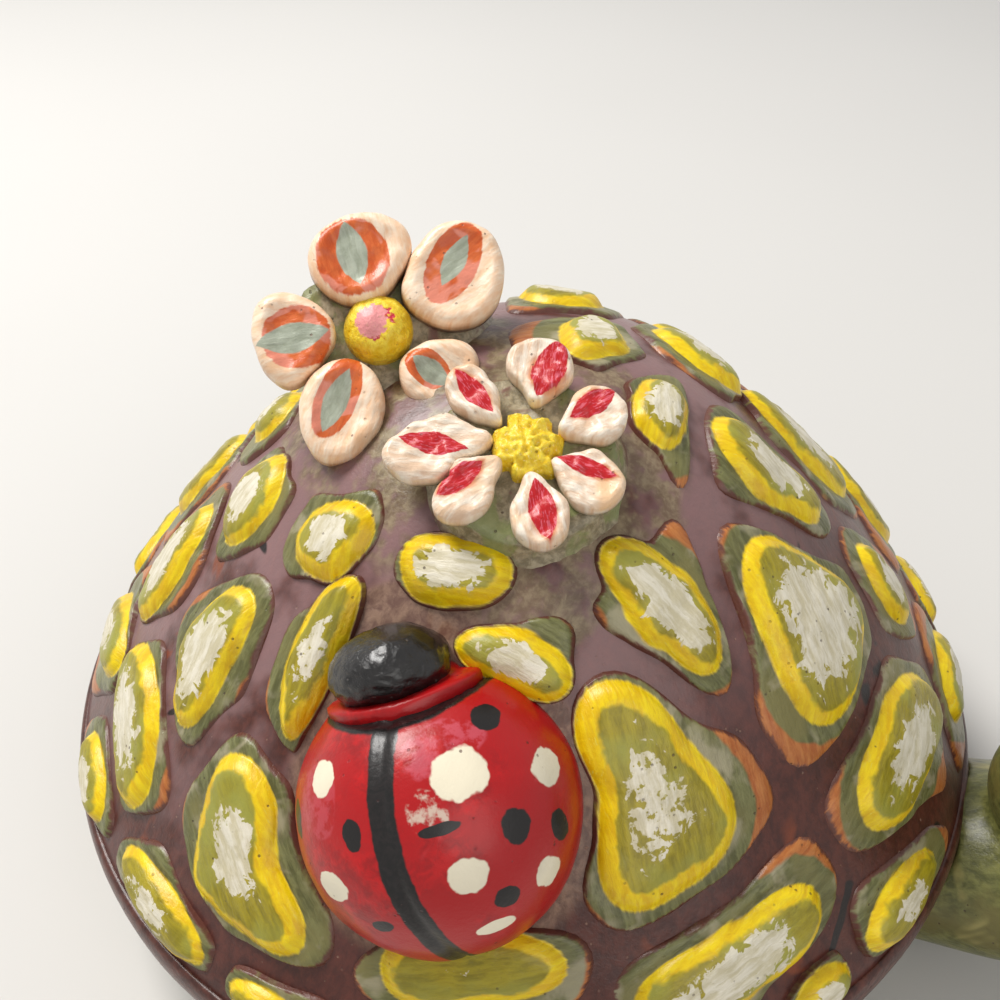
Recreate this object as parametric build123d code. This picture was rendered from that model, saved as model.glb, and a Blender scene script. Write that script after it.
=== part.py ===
from build123d import *
import math
import os

# A hand-built clay turtle: a hollow domed shell on a rolled rim, paved with raised scutes,
# carrying two flowers at the crown and a ladybug on one flank.
# Frame: +X towards the head, +Z up, origin on the ground under the middle of the shell.
# A bearing is an angle round the shell from the head, minus on the ladybug's side.
# A turn is measured clockwise from straight up the slope, seen from outside.

# Shell
shell_radius = 78.0
shell_height = 66.0
rim_height = 30.0
crown_radius = 50.0
crown_angle = 40.0
shell_wall = 7.0

# Rolled rim under the shell, with its sloping lower band
lip_overhang = 5.0
lip_drop = 6.5
band_drop = 6.0
band_inset = 4.0
rim_wall = 11.0

# Belly, flat underneath and level with the feet, with a vent for the kiln
belly_radius = 60.0
belly_wall = 5.0
vent_radius = 4.0
vent_reach = 26.0

# Scutes: a low plate that fills its cell, with a raised pad in the middle
plate_lift = 0.8
pad_lift = 2.5
valley_width = 3.6
plate_margin = 5.5
plate_corner = 2.0
scute_root = 7.0
pad_draft_share = 0.10
neighbour_reach = 48.0

# Neck and head
neck_half_width = 18.5
neck_half_height = 14.0
neck_heading = -6.0
neck_start = 62.0
neck_bend = 84.0
neck_end = 100.0
neck_axis_height = 15.5
neck_rise = 50.0
head_lift = 24.0
head_pitch = 8.0
head_forward_share = 0.18
head_front_angle = 45.0
head_length = 44.0
head_radius = 19.0
mouth_width = 0.9
mouth_depth = 1.4
mouth_length = 15.0
mouth_low_share = 0.28
eye_radius = 4.2
eye_bearing = 58.0
eye_forward_share = 0.35
eye_sink = 2.2

# Legs and tail
leg_half_length = 14.0
leg_half_width = 11.0
leg_reach = 76.0
leg_top_reach = 60.0
leg_top_height = 24.0
front_leg_bearing = 47.0
rear_leg_bearing = 138.0
toe_radius = 4.6
toe_rise = 2.8
toe_spread = 30.0
toe_reach_share = 0.82
tail_radius = 8.0
tail_tip_radius = 2.6
tail_start = 66.0
tail_end = 96.0
tail_root_height = 19.0
tail_tip_height = 11.0

# Ladybug
ladybug_bearing = -84.5
ladybug_radius_share = 0.72
ladybug_turn = -24.0
ladybug_radius = 18.8
ladybug_sink = 2.0
ladybug_head_radius = 8.8
ladybug_head_reach = 20.0
ladybug_collar_radius = 10.9
ladybug_collar_reach = 17.0
ladybug_collar_front = 16.5

# Large flower, propped on a lump of clay and facing outwards
large_flower_radius = 19.5
large_flower_bearing = -157.5
large_flower_offset = 21.6
large_flower_height = 100.8
large_flower_heading = -64.0
large_flower_slope = 48.0
large_petal_thickness = 5.0
large_petal_round = 1.6
large_button_radius = 5.2
large_button_lift = 2.0
large_mound_radius = 12.0
large_mound_foot = 17.0
large_mound_height = 28.0
large_mound_root = 3.5

# Small flower, lying on the crown
small_flower_radius = 15.5
small_flower_bearing = -74.0
small_flower_radius_share = 0.28
small_petal_thickness = 3.4
small_petal_round = 1.1
small_button_radius = 4.2
small_button_lift = 1.2
small_mound_lift = 2.2
small_mound_radius = 13.6
small_mound_foot = 17.5
small_mound_root = 7.0

# Scutes as (bearing, share of the shell radius, length share, width share, turn, taper share, bend share).
# Lengths and widths are shares of the shell radius; taper narrows the upper end and bend bows the sides.
scute_shares = {
    "crown_scute_1": [(-11, 0.26, 0.18, 0.135, 61, 0.10, 0.0)],
    "crown_scute_2": [(33, 0.14, 0.155, 0.145, 0, 0.0, 0.0)],
    "crown_scute_3": [(38, 0.37, 0.22, 0.13, 43, 0.0, 0.0)],
    "crown_scute_4": [(-175, 0.53, 0.14, 0.14, -34, 0.10, 0.0)],
    "upper_scute_1": [(3, 0.47, 0.34, 0.15, 6, 0.12, 0.03)],
    "upper_scute_2": [(-46, 0.50, 0.31, 0.145, -25, -0.12, 0.0)],
    "upper_scute_3": [(-75.5, 0.54, 0.20, 0.115, -62, -0.15, 0.0)],
    "upper_scute_4": [(-88, 0.44, 0.20, 0.115, -92, 0.0, 0.0)],
    "upper_scute_5": [(-119, 0.465, 0.15, 0.135, -10, 0.10, 0.0)],
    "upper_scute_6": [(-147, 0.54, 0.20, 0.15, -24, 0.0, 0.0)],
    "upper_scute_7": [(26, 0.57, 0.34, 0.15, 14, 0.10, 0.0)],
    "far_upper_scutes": [
        (92, 0.27, 0.18, 0.16, 55, 0.0, 0.0),
        (142, 0.31, 0.15, 0.13, 40, 0.0, 0.0),
        (63, 0.54, 0.29, 0.19, 10, 0.15, 0.0),
        (99, 0.53, 0.27, 0.20, -15, 0.12, 0.0),
        (138, 0.57, 0.25, 0.20, 8, 0.10, 0.0),
    ],
    "flank_scute_1": [(-20, 0.62, 0.38, 0.255, 17, -0.14, 0.0)],
    "flank_scute_2": [(-57, 0.72, 0.40, 0.24, -2, 0.22, 0.0)],
    "flank_scute_3": [(-109, 0.605, 0.30, 0.10, -3, -0.10, -0.05)],
    "flank_scute_4": [(-129, 0.70, 0.30, 0.165, -10, 0.10, 0.0)],
    "flank_scute_5": [(-154, 0.73, 0.29, 0.15, -18, 0.0, 0.0)],
    "flank_scute_6": [(-178, 0.74, 0.27, 0.17, -12, 0.0, 0.0)],
    "flank_scute_7": [(6, 0.74, 0.20, 0.12, 9, 0.10, 0.0)],
    "lower_scute_1": [(-14, 0.84, 0.38, 0.18, 73, 0.0, 0.06)],
    "lower_scute_2": [(-49, 0.89, 0.44, 0.155, 73, 0.10, 0.0)],
    "lower_scute_3": [(-78, 0.90, 0.32, 0.10, -99, 0.0, 0.0)],
    "lower_scute_4": [(-108, 0.83, 0.36, 0.17, -47, 0.20, 0.0)],
    "lower_scute_5": [(-135.5, 0.86, 0.33, 0.17, -62, 0.0, 0.05)],
    "far_flank_scutes": [
        (33, 0.80, 0.30, 0.19, 12, 0.12, 0.0),
        (57, 0.78, 0.29, 0.21, -8, 0.15, 0.0),
        (82, 0.77, 0.31, 0.22, 10, 0.10, 0.0),
        (108, 0.78, 0.29, 0.20, -6, 0.18, 0.0),
        (134, 0.77, 0.30, 0.22, 9, 0.12, 0.0),
        (159, 0.77, 0.28, 0.19, -10, 0.10, 0.0),
    ],
    "near_rim_scutes": [
        (8, 0.94, 0.24, 0.11, 84, 0.0, 0.0),
        (-26, 0.965, 0.25, 0.11, 90, 0.10, 0.0),
        (-40.5, 0.978, 0.13, 0.085, 84, 0.0, 0.0),
        (-61, 0.975, 0.20, 0.08, 88, 0.0, 0.0),
        (-81, 0.98, 0.21, 0.075, 90, 0.0, 0.0),
        (-99, 0.98, 0.19, 0.08, 96, 0.0, 0.0),
        (-117, 0.965, 0.28, 0.105, 96, 0.0, 0.0),
        (-138, 0.97, 0.20, 0.10, 100, 0.0, 0.0),
        (-156, 0.90, 0.28, 0.14, 74, 0.0, 0.0),
        (-179, 0.93, 0.27, 0.12, 90, 0.0, 0.0),
    ],
    "far_rim_scutes": [
        (26, 0.955, 0.23, 0.10, 92, 0.0, 0.0),
        (45, 0.95, 0.24, 0.11, 87, 0.0, 0.0),
        (66, 0.955, 0.25, 0.10, 92, 0.0, 0.0),
        (86.5, 0.951, 0.24, 0.11, 86, 0.0, 0.0),
        (107, 0.955, 0.23, 0.10, 92, 0.0, 0.0),
        (127, 0.95, 0.25, 0.11, 88, 0.0, 0.0),
        (147, 0.955, 0.22, 0.10, 91, 0.0, 0.0),
        (164, 0.955, 0.18, 0.10, 90, 0.0, 0.0),
    ],
}

# Petals as (angle, distance share, length share, width share, taper share) of the flower's radius.
large_petal_shares = {
    "large_petal_top": (101, 0.61, 0.76, 0.66, -0.15),
    "large_petal_front": (33, 0.67, 0.78, 0.74, -0.12),
    "large_petal_rear": (187, 0.65, 0.70, 0.60, -0.10),
    "large_petal_bottom": (244, 0.69, 0.76, 0.58, -0.12),
    "large_petal_lower": (316, 0.62, 0.66, 0.58, -0.10),
}
small_petal_shares = {
    "small_petal_1": (80, 0.66, 0.60, 0.53, -0.22),
    "small_petal_2": (22, 0.66, 0.60, 0.45, -0.15),
    "small_petal_3": (-34, 0.66, 0.63, 0.48, -0.10),
    "small_petal_4": (-82, 0.69, 0.64, 0.43, -0.12),
    "small_petal_5": (-133, 0.68, 0.64, 0.48, -0.15),
    "small_petal_6": (-172, 0.80, 0.92, 0.44, -0.15),
    "small_petal_7": (-222, 0.68, 0.58, 0.44, -0.20),
}

# Round an outline or a ring in this many points.
outline_points = 12


def along(angle):
    """The flat direction at an angle."""
    return Vector(math.cos(math.radians(angle)), math.sin(math.radians(angle)))


def revolved(*edges):
    """A solid turned round the shell's upright axis from edges in the XZ plane."""
    return revolve(Face(Wire(edges)), Axis.Z)


# The dome's outline is a crown arc and a flank arc, tangent where they join.
def dome(lift):
    """The solid dome whose surface stands lift outside the shell's valleys."""
    apex = Vector(0, 0, rim_height + shell_height + lift)
    outward = Vector(math.sin(math.radians(crown_angle)), 0, math.cos(math.radians(crown_angle)))
    join = crown_centre + outward * (crown_radius + lift)
    foot = Vector(shell_radius + lift, 0, rim_height)
    base = Vector(0, 0, rim_height)
    crown = Edge.make_tangent_arc(apex, (1, 0, 0), join)
    flank = Edge.make_tangent_arc(join, (outward.Z, 0, -outward.X), foot)
    return revolved(crown, flank, Edge.make_line(foot, base), Edge.make_line(base, apex))


crown_centre = Vector(0, 0, rim_height + shell_height - crown_radius)
crown_outward = Vector(math.sin(math.radians(crown_angle)), 0, math.cos(math.radians(crown_angle)))
crown_join = crown_centre + crown_outward * crown_radius
flank_chord = Vector(shell_radius, 0, rim_height) - crown_join
flank_radius = -flank_chord.dot(flank_chord) / (2 * flank_chord.dot(crown_outward))
flank_centre = crown_join - crown_outward * flank_radius


def shell_plane(bearing, radius_share, lift=0):
    """A plane on the shell's surface: x round the shell, y straight up the slope, z outwards."""
    radius = shell_radius * radius_share
    centre, arc_radius = (crown_centre, crown_radius)
    if radius > crown_join.X:
        centre, arc_radius = (flank_centre, flank_radius)
    height = centre.Z + math.sqrt(arc_radius**2 - (radius - centre.X) ** 2)
    slope = math.degrees(math.atan2(radius - centre.X, height - centre.Z))
    out = along(bearing)
    point = Vector(out.X * radius, out.Y * radius, height)
    lean = math.sin(math.radians(slope))
    normal = Vector(out.X * lean, out.Y * lean, math.cos(math.radians(slope)))
    return Plane(origin=point + normal * lift, x_dir=Vector(-out.Y, out.X), z_dir=normal)


def egg(length, width, taper, bend, turn, size=1):
    """A closed egg-shaped face, its long axis turned clockwise from y."""
    points = []
    for step in range(outline_points):
        direction = along(step * 360 / outline_points)
        far = direction.X * length / 2 * size
        side = direction.Y * width / 2 * size * (1 - taper * direction.X)
        side += bend * length * (direction.X**2 - 1 / 2)
        points.append(Vector(far, side).rotate(Axis.Z, 90 - turn))
    return make_face(Spline(*points, periodic=True))


# Each scute's plate is a cell: its outline is cut back from every neighbour at the middle
# of the straight gap between the two pads, less half a valley.
class Scute:
    def __init__(self, row):
        bearing, radius_share, length_share, width_share, turn, taper, bend = row
        self.plane = shell_plane(bearing, radius_share)
        self.length = shell_radius * length_share
        self.width = shell_radius * width_share
        self.turn, self.taper, self.bend = turn, taper, bend
        long_way = along(90 - turn)
        across = along(-turn)
        self.long_axis = self.plane.x_dir * long_way.X + self.plane.y_dir * long_way.Y
        self.cross_axis = self.plane.x_dir * across.X + self.plane.y_dir * across.Y

    def extent(self, direction):
        """How far the pad reaches from its middle along a direction."""
        far = self.length / 2 * self.long_axis.dot(direction)
        side = self.width / 2 * self.cross_axis.dot(direction)
        return math.hypot(far, side)

    def limit_beside(self, other):
        """The direction and distance, in this scute's plane, of its edge beside another."""
        step = other.plane.origin - self.plane.origin
        normal = (self.plane.z_dir + other.plane.z_dir).normalized()
        ahead = (step - normal * step.dot(normal)).normalized()
        aside = normal.cross(ahead)
        best_gap, best = None, ahead
        for angle in range(-60, 61, 6):
            flat = along(angle)
            direction = ahead * flat.X + aside * flat.Y
            gap = step.dot(direction) - self.extent(direction) - other.extent(direction)
            if best_gap is None or gap > best_gap:
                best_gap, best = gap, direction
        flat = Vector(best.dot(self.plane.x_dir), best.dot(self.plane.y_dir))
        reach = (self.extent(best) + best_gap / 2) / flat.length
        return flat.normalized(), reach - valley_width / 2

    def cell(self, others):
        """The rounded outline of the plate, as a face."""
        far = self.length / 2 + plate_margin
        side = self.width / 2 + plate_margin
        corners = [Vector(far, side), Vector(-far, side), Vector(-far, -side), Vector(far, -side)]
        corners = [corner.rotate(Axis.Z, 90 - self.turn) for corner in corners]
        for angle in (45, 135, 225, 315):
            flat = along(angle + 90 - self.turn)
            corners = clipped(corners, flat, (far + side) / math.sqrt(2) - plate_margin)
        for other in others:
            if other is not self and (other.plane.origin - self.plane.origin).length < neighbour_reach:
                flat, reach = self.limit_beside(other)
                corners = clipped(corners, flat, max(reach, self.width / 4) - plate_corner)
        return offset(make_face(Polyline(*corners, close=True)), plate_corner)

    def solid(self, others):
        plate = extrude(self.plane * self.cell(others), scute_root, both=True)
        low = egg(self.length, self.width, self.taper, self.bend, self.turn, 1 + pad_draft_share)
        high = egg(self.length, self.width, self.taper, self.bend, self.turn, 1 - pad_draft_share)
        pad = loft([self.plane.offset(-scute_root / 2) * low, self.plane.offset(scute_root / 2) * high])
        return (plate & plate_dome) + (pad & pad_dome) - valley_dome


def clipped(corners, direction, limit):
    """A convex outline cut off where it reaches past limit along direction."""
    kept = []
    for here, there in zip(corners, corners[1:] + corners[:1]):
        over_here = here.dot(direction) - limit
        over_there = there.dot(direction) - limit
        if over_here <= 0:
            kept.append(here)
        if over_here * over_there < 0:
            kept.append(here + (there - here) * (over_here / (over_here - over_there)))
    return kept


# Shell, rim and belly
valley_dome = dome(0)
plate_dome = dome(plate_lift)
pad_dome = dome(pad_lift)

inner_floor = shell_radius - shell_wall
inner_top = rim_height + shell_height - shell_wall
inner_shoulder = Vector(crown_join.X - shell_wall * crown_outward.X, 0, crown_join.Z - shell_wall)
hollow = revolved(
    *Polyline(
        (0, 0, rim_height),
        (inner_floor, 0, rim_height),
        tuple(inner_shoulder),
        (inner_shoulder.X / 2, 0, inner_top),
        (0, 0, inner_top),
        close=True,
    ).edges()
)
shell_dome = valley_dome - hollow

lip_radius = shell_radius + pad_lift
lip_bottom = rim_height - lip_drop
band_bottom = lip_bottom - band_drop
rim_inner = shell_radius - rim_wall
band_radius = lip_radius - band_inset


def rim_ring(inner):
    """The rim from a given inner radius: flat top, rolled lip, sloping band below."""
    return revolved(
        Edge.make_line((inner, 0, rim_height), (lip_radius, 0, rim_height)),
        Edge.make_three_point_arc(
            (lip_radius, 0, rim_height),
            (lip_radius + lip_overhang, 0, rim_height - lip_drop / 2),
            (lip_radius, 0, lip_bottom),
        ),
        Edge.make_line((lip_radius, 0, lip_bottom), (band_radius, 0, band_bottom)),
        Edge.make_line((band_radius, 0, band_bottom), (inner, 0, band_bottom)),
        Edge.make_line((inner, 0, band_bottom), (inner, 0, rim_height)),
    )


rim_coil = rim_ring(rim_inner)


def belly_dish(top, bottom, upper, lower):
    """A dish with a rounded side, from its upper radius at top to its lower radius at bottom."""
    knee = (upper + (lower - upper) / 4, 0, bottom + (top - bottom) / 4)
    return revolved(
        Edge.make_line((0, 0, top), (upper, 0, top)),
        Edge.make_three_point_arc((upper, 0, top), knee, (lower, 0, bottom)),
        Edge.make_line((lower, 0, bottom), (0, 0, bottom)),
        Edge.make_line((0, 0, bottom), (0, 0, top)),
    )


belly_solid = belly_dish(band_bottom, 0, band_radius, belly_radius)
belly_hollow = belly_dish(band_bottom, belly_wall, rim_inner, belly_radius - belly_wall)
belly_plate = belly_solid - belly_hollow - Pos(-vent_reach, 0) * Cylinder(vent_radius, 2 * band_bottom)

# Limbs are cut by the closed outside of the shell, so none reaches into the hollow.
rim_block = rim_ring(0)


def outside_body(piece):
    """A piece less the shell, rim and belly that it grows from."""
    return piece - rim_block - belly_solid - valley_dome


# Ladybug
ladybug_plane = shell_plane(ladybug_bearing, ladybug_radius_share, -ladybug_sink)
ladybug_way = ladybug_plane.rotated((0, 0, -ladybug_turn))
ladybug_ball = ladybug_way * Sphere(ladybug_radius)
collar_box = Pos(0, ladybug_collar_front - ladybug_radius, ladybug_sink) * Box(
    2 * ladybug_radius, 2 * ladybug_radius, 4 * ladybug_radius
)
ladybug_body = ladybug_ball - valley_dome
collar_ball = Pos(0, ladybug_collar_reach, ladybug_sink) * Sphere(ladybug_collar_radius)
ladybug_collar = ladybug_way * (collar_ball & collar_box) - valley_dome - ladybug_ball
head_ball = Pos(0, ladybug_head_reach, 2 * ladybug_sink) * Sphere(ladybug_head_radius)
ladybug_head = ladybug_way * head_ball - valley_dome - ladybug_ball - ladybug_collar

# Flowers
flower_out = along(large_flower_bearing) * large_flower_offset
facing = along(large_flower_heading) * math.cos(math.radians(large_flower_slope))
large_face = Plane(
    origin=Vector(flower_out.X, flower_out.Y, large_flower_height),
    x_dir=along(large_flower_heading + 90),
    z_dir=Vector(facing.X, facing.Y, math.sin(math.radians(large_flower_slope))),
)
large_seat = large_face.offset(-large_petal_thickness)
large_ground = shell_plane(large_flower_bearing, large_flower_offset / shell_radius, -large_mound_root)
large_lump = large_ground * Pos(0, 0, large_mound_height / 2) * Cone(
    large_mound_foot, large_mound_radius, large_mound_height
)
large_mound = split(large_lump, bisect_by=large_seat, keep=Keep.BOTTOM)
large_flower_mound = large_mound - valley_dome

small_seat = shell_plane(small_flower_bearing, small_flower_radius_share, small_mound_lift)
small_mound_height = small_mound_lift + small_mound_root
small_mound = small_seat * Pos(0, 0, -small_mound_height / 2) * Cone(
    small_mound_foot, small_mound_radius, small_mound_height
)
small_flower_mound = small_mound - valley_dome - large_mound


def button(seat, radius, height, lift):
    """A round flower centre with a domed top, standing on its seat."""
    stem = Pos(0, 0, height / 2) * Cylinder(radius, height)
    cap_radius = (radius**2 + lift**2) / (2 * lift)
    cap = Pos(0, 0, height + lift - cap_radius) * Sphere(cap_radius)
    column = Pos(0, 0, (height + lift) / 2) * Cylinder(radius, height + lift)
    return seat * ((cap & column) + stem if lift < radius else column)


def petal_middle(radius, shares):
    """The middle of a petal, in the plane of its flower's seat."""
    return along(shares[0]) * (radius * shares[1])


def petal(seat, radius, shares, thickness, rounding):
    """A petal as a flat egg with an eased upper edge, pointing away from the flower's middle."""
    angle, distance_share, length_share, width_share, taper = shares
    middle = petal_middle(radius, shares)
    sections = []
    for drop_share, inset_share in ((1, 0), (0.35, 0.25), (0, 1)):
        inset = 2 * rounding * inset_share
        face = egg(radius * length_share - inset, radius * width_share - inset, taper, 0, 90 - angle)
        sections.append(Pos(middle.X, middle.Y, thickness - rounding * drop_share) * face)
    foot = egg(radius * length_share, radius * width_share, taper, 0, 90 - angle)
    sections.insert(0, Pos(middle.X, middle.Y) * foot)
    return seat * loft(sections, ruled=True)


large_flower_button = button(
    large_seat, large_button_radius, large_petal_thickness, large_button_lift
)
small_flower_button = button(
    small_seat, small_button_radius, small_petal_thickness, small_button_lift
)
large_petals = {}
for name, shares in large_petal_shares.items():
    shape = petal(large_seat, large_flower_radius, shares, large_petal_thickness, large_petal_round)
    shape = shape - valley_dome - large_flower_button
    for done in large_petals.values():
        shape = shape - done
    large_petals[name] = shape
small_petals = {}
for name, shares in small_petal_shares.items():
    shape = petal(small_seat, small_flower_radius, shares, small_petal_thickness, small_petal_round)
    shape = shape - valley_dome - small_flower_button - large_mound
    for done in list(large_petals.values()) + list(small_petals.values()):
        shape = shape - done
    small_petals[name] = shape

for name, shape in large_petals.items():
    small_flower_mound = small_flower_mound - shape

# Neck and head, both along the heading of the neck
def ahead_plane(reach, height, pitch):
    """A plane square to the neck's run, x sideways, facing ahead and up by pitch."""
    heading = along(neck_heading)
    level = heading * math.cos(math.radians(pitch))
    return Plane(
        origin=Vector(heading.X * reach, heading.Y * reach, height),
        x_dir=Vector(-heading.Y, heading.X),
        z_dir=Vector(level.X, level.Y, math.sin(math.radians(pitch))),
    )


neck_section = Ellipse(neck_half_width, neck_half_height)
head_height = neck_axis_height + head_lift
neck_solid = loft(
    [
        ahead_plane(neck_start, neck_axis_height, 0) * neck_section,
        ahead_plane(neck_bend, neck_axis_height, 0) * neck_section,
        ahead_plane(neck_end, head_height - head_lift / 3, neck_rise) * neck_section,
    ]
)

# The head is an egg turned about its own length: a ball behind, a tighter ball in front, and a
# flank arc tangent to both.
head_axis = ahead_plane(neck_end + head_length * head_forward_share, head_height, head_pitch)
front_sine = math.sin(math.radians(head_front_angle))
front_cosine = math.cos(math.radians(head_front_angle))
flank_share = front_cosine / (1 - front_sine)
back_middle = head_radius - head_length / 2
nose_radius = (head_radius * flank_share - head_length + head_radius) / (
    front_sine * flank_share - 1 + front_cosine
)
cheek_radius = (head_radius - nose_radius * front_sine) / (1 - front_sine)


def head_egg(inset):
    """The head's egg, its surface inset from the skin."""
    nape = Vector(0, 0, inset - head_length / 2)
    widest = Vector(head_radius - inset, 0, back_middle)
    nose = Vector(0, 0, head_length / 2 - inset)
    nose_middle = Vector(0, 0, head_length / 2 - nose_radius)
    join = nose_middle + Vector(front_sine, 0, front_cosine) * (nose_radius - inset)
    skin = [
        Edge.make_tangent_arc(nape, (1, 0, 0), widest),
        Edge.make_tangent_arc(widest, (0, 0, 1), join),
        Edge.make_tangent_arc(join, (-front_cosine, 0, front_sine), nose),
    ]
    return head_axis * revolved(*skin, Edge.make_line(nose, nape))


mouth_slot = head_axis * Pos(0, -head_radius * mouth_low_share, head_length / 2) * Box(
    2 * head_radius, mouth_width, 2 * mouth_length
)
head_solid = head_egg(0)
head = head_solid - (mouth_slot - head_egg(mouth_depth))
neck = outside_body(neck_solid) - head_solid
eyes = {}
eye_forward = head_length / 2 * eye_forward_share
eye_out = head_radius - cheek_radius + math.sqrt(cheek_radius**2 - (eye_forward - back_middle) ** 2)
for name, side in (("left_eye", -1), ("right_eye", 1)):
    out = along(90 - side * eye_bearing) * (eye_out - eye_sink)
    eyes[name] = head_axis * Pos(out.X, out.Y, eye_forward) * Sphere(eye_radius) - head_solid


# Legs and tail
def leg(bearing):
    """A stub leg that spreads to a flat foot with three toes."""
    way = Plane.XY.rotated((0, 0, bearing))
    sections = []
    for height_share, size_share in ((0, 1), (0.45, 0.86), (1, 0.94)):
        reach = leg_reach + (leg_top_reach - leg_reach) * height_share
        outline = Ellipse(leg_half_length * size_share, leg_half_width * size_share)
        sections.append(way * Pos(reach, 0, leg_top_height * height_share) * outline)
    stub = loft(sections)
    for turn in (-toe_spread, 0, toe_spread):
        out = along(turn)
        toe = Pos(leg_reach + out.X * leg_half_length * toe_reach_share, out.Y * leg_half_length, toe_rise)
        stub = stub + way * toe * Sphere(toe_radius)
    ground = Pos(0, 0, -leg_top_height / 2) * Box(4 * shell_radius, 4 * shell_radius, leg_top_height)
    return outside_body(stub - ground)


legs = {
    "front_left_leg": leg(front_leg_bearing),
    "front_right_leg": leg(-front_leg_bearing),
    "rear_left_leg": leg(rear_leg_bearing),
    "rear_right_leg": leg(-rear_leg_bearing),
}

tail_root = Vector(-tail_start, 0, tail_root_height)
tail_tip = Vector(-tail_end, 0, tail_tip_height)
tail_line = tail_tip - tail_root
tail_plane = Plane(origin=tail_root, x_dir=(0, 1, 0), z_dir=tail_line)
tail_cone = Pos(0, 0, tail_line.length / 2) * Cone(tail_radius, tail_tip_radius, tail_line.length)
tail_end_ball = Pos(0, 0, tail_line.length) * Sphere(tail_tip_radius)
tail = outside_body(tail_plane * (tail_cone + tail_end_ball))

# Scutes, cut clear of the ladybug and of both flowers
raised = [(ladybug_ball, ladybug_way.origin, ladybug_radius)]
ladybug_front = ladybug_way.from_local_coords(Vector(0, ladybug_head_reach))
raised += [(piece, ladybug_front, ladybug_collar_radius) for piece in (ladybug_head, ladybug_collar)]
raised += [(large_mound, large_seat.origin, large_mound_foot + large_petal_thickness)]
raised += [(small_mound, small_seat.origin, small_mound_foot)]
for name, shares in large_petal_shares.items():
    middle = large_seat.from_local_coords(petal_middle(large_flower_radius, shares))
    raised += [(large_petals[name], middle, large_flower_radius * shares[2])]
for name, shares in small_petal_shares.items():
    middle = small_seat.from_local_coords(petal_middle(small_flower_radius, shares))
    raised += [(small_petals[name], middle, small_flower_radius * shares[2])]
rows = [row for group in scute_shares.values() for row in group]
scutes = {name: [] for name in scute_shares}
every = [Scute(row) for row in rows]
placed = iter(every)
for name, group in scute_shares.items():
    for row in group:
        scute = next(placed)
        shape = scute.solid(every)
        for other, middle, reach in raised:
            if (scute.plane.origin - middle).length < reach + scute.length / 2 + plate_margin:
                shape = shape - other
        scutes[name] += shape.solids()

# Write every piece
pieces = {
    "shell_dome": shell_dome,
    "rim_coil": rim_coil,
    "belly_plate": belly_plate,
    "neck": neck,
    "head": head,
    "tail": tail,
    "ladybug_body": ladybug_body,
    "ladybug_collar": ladybug_collar,
    "ladybug_head": ladybug_head,
    "large_flower_mound": large_flower_mound,
    "large_flower_button": large_flower_button,
    "small_flower_mound": small_flower_mound,
    "small_flower_button": small_flower_button,
}
pieces.update(eyes)
pieces.update(legs)
pieces.update(large_petals)
pieces.update(small_petals)
pieces.update({name: Compound(children=solids) for name, solids in scutes.items()})
os.makedirs("parts", exist_ok=True)
for name, piece in pieces.items():
    export_step(piece, f"parts/{name}.step")
print(len(pieces), "nodes")
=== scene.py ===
import math
import bpy
import numpy as np
from mathutils import Matrix, Vector, noise


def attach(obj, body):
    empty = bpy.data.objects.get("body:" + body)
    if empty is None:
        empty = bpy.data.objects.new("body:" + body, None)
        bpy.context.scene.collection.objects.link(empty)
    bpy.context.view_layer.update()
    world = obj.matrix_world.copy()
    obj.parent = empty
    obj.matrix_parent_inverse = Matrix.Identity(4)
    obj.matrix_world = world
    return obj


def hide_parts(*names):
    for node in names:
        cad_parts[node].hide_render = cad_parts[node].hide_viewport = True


# A hand-painted clay turtle. Lengths are millimetres until a mesh is made, which is in metres.
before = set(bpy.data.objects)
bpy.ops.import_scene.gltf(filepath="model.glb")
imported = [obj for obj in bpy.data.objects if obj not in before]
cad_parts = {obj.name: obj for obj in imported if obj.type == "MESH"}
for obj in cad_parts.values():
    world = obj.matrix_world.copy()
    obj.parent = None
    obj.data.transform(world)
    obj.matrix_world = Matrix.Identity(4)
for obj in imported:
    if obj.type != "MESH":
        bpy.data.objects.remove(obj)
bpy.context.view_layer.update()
MM = 0.001

# The shell's valleys: a crown arc and a flank arc, turned round the upright axis.
SHELL_RADIUS = 78.0
SHELL_HEIGHT = 66.0
RIM_HEIGHT = 30.0
CROWN_RADIUS = 50.0
CROWN_ANGLE = math.radians(40)
crown_z = RIM_HEIGHT + SHELL_HEIGHT - CROWN_RADIUS
join_out = np.array([math.sin(CROWN_ANGLE), math.cos(CROWN_ANGLE)])
join = np.array([0, crown_z]) + join_out * CROWN_RADIUS
foot_step = np.array([SHELL_RADIUS, RIM_HEIGHT]) - join
FLANK_RADIUS = -(foot_step @ foot_step) / (2 * (foot_step @ join_out))
flank_middle = join - join_out * FLANK_RADIUS

# Outlines are points at even angles round a middle, and those on the shell come down to it in rounds.
AROUND = 72
SEATING_ROUNDS = 7
ANGLES = np.linspace(0, 2 * math.pi, AROUND, endpoint=False)
CIRCLE = np.stack([np.cos(ANGLES), np.sin(ANGLES)], -1)


def shell_distance(points):
    """How far points stand outside the shell's valleys."""
    r = np.hypot(points[..., 0], points[..., 1])
    up = points[..., 2] - crown_z
    crown = np.hypot(r, up) - CROWN_RADIUS
    flank = np.hypot(r - flank_middle[0], points[..., 2] - flank_middle[1]) - FLANK_RADIUS
    return np.where(np.arctan2(r, up) < CROWN_ANGLE, crown, flank)


def level_way(bearing):
    """The level direction at a bearing in degrees, from the head towards the far side."""
    return np.array([math.cos(math.radians(bearing)), math.sin(math.radians(bearing))])


def turned(x, y, angle):
    """Flat places turned round the middle by an angle."""
    return x * math.cos(angle) - y * math.sin(angle), x * math.sin(angle) + y * math.cos(angle)


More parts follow.
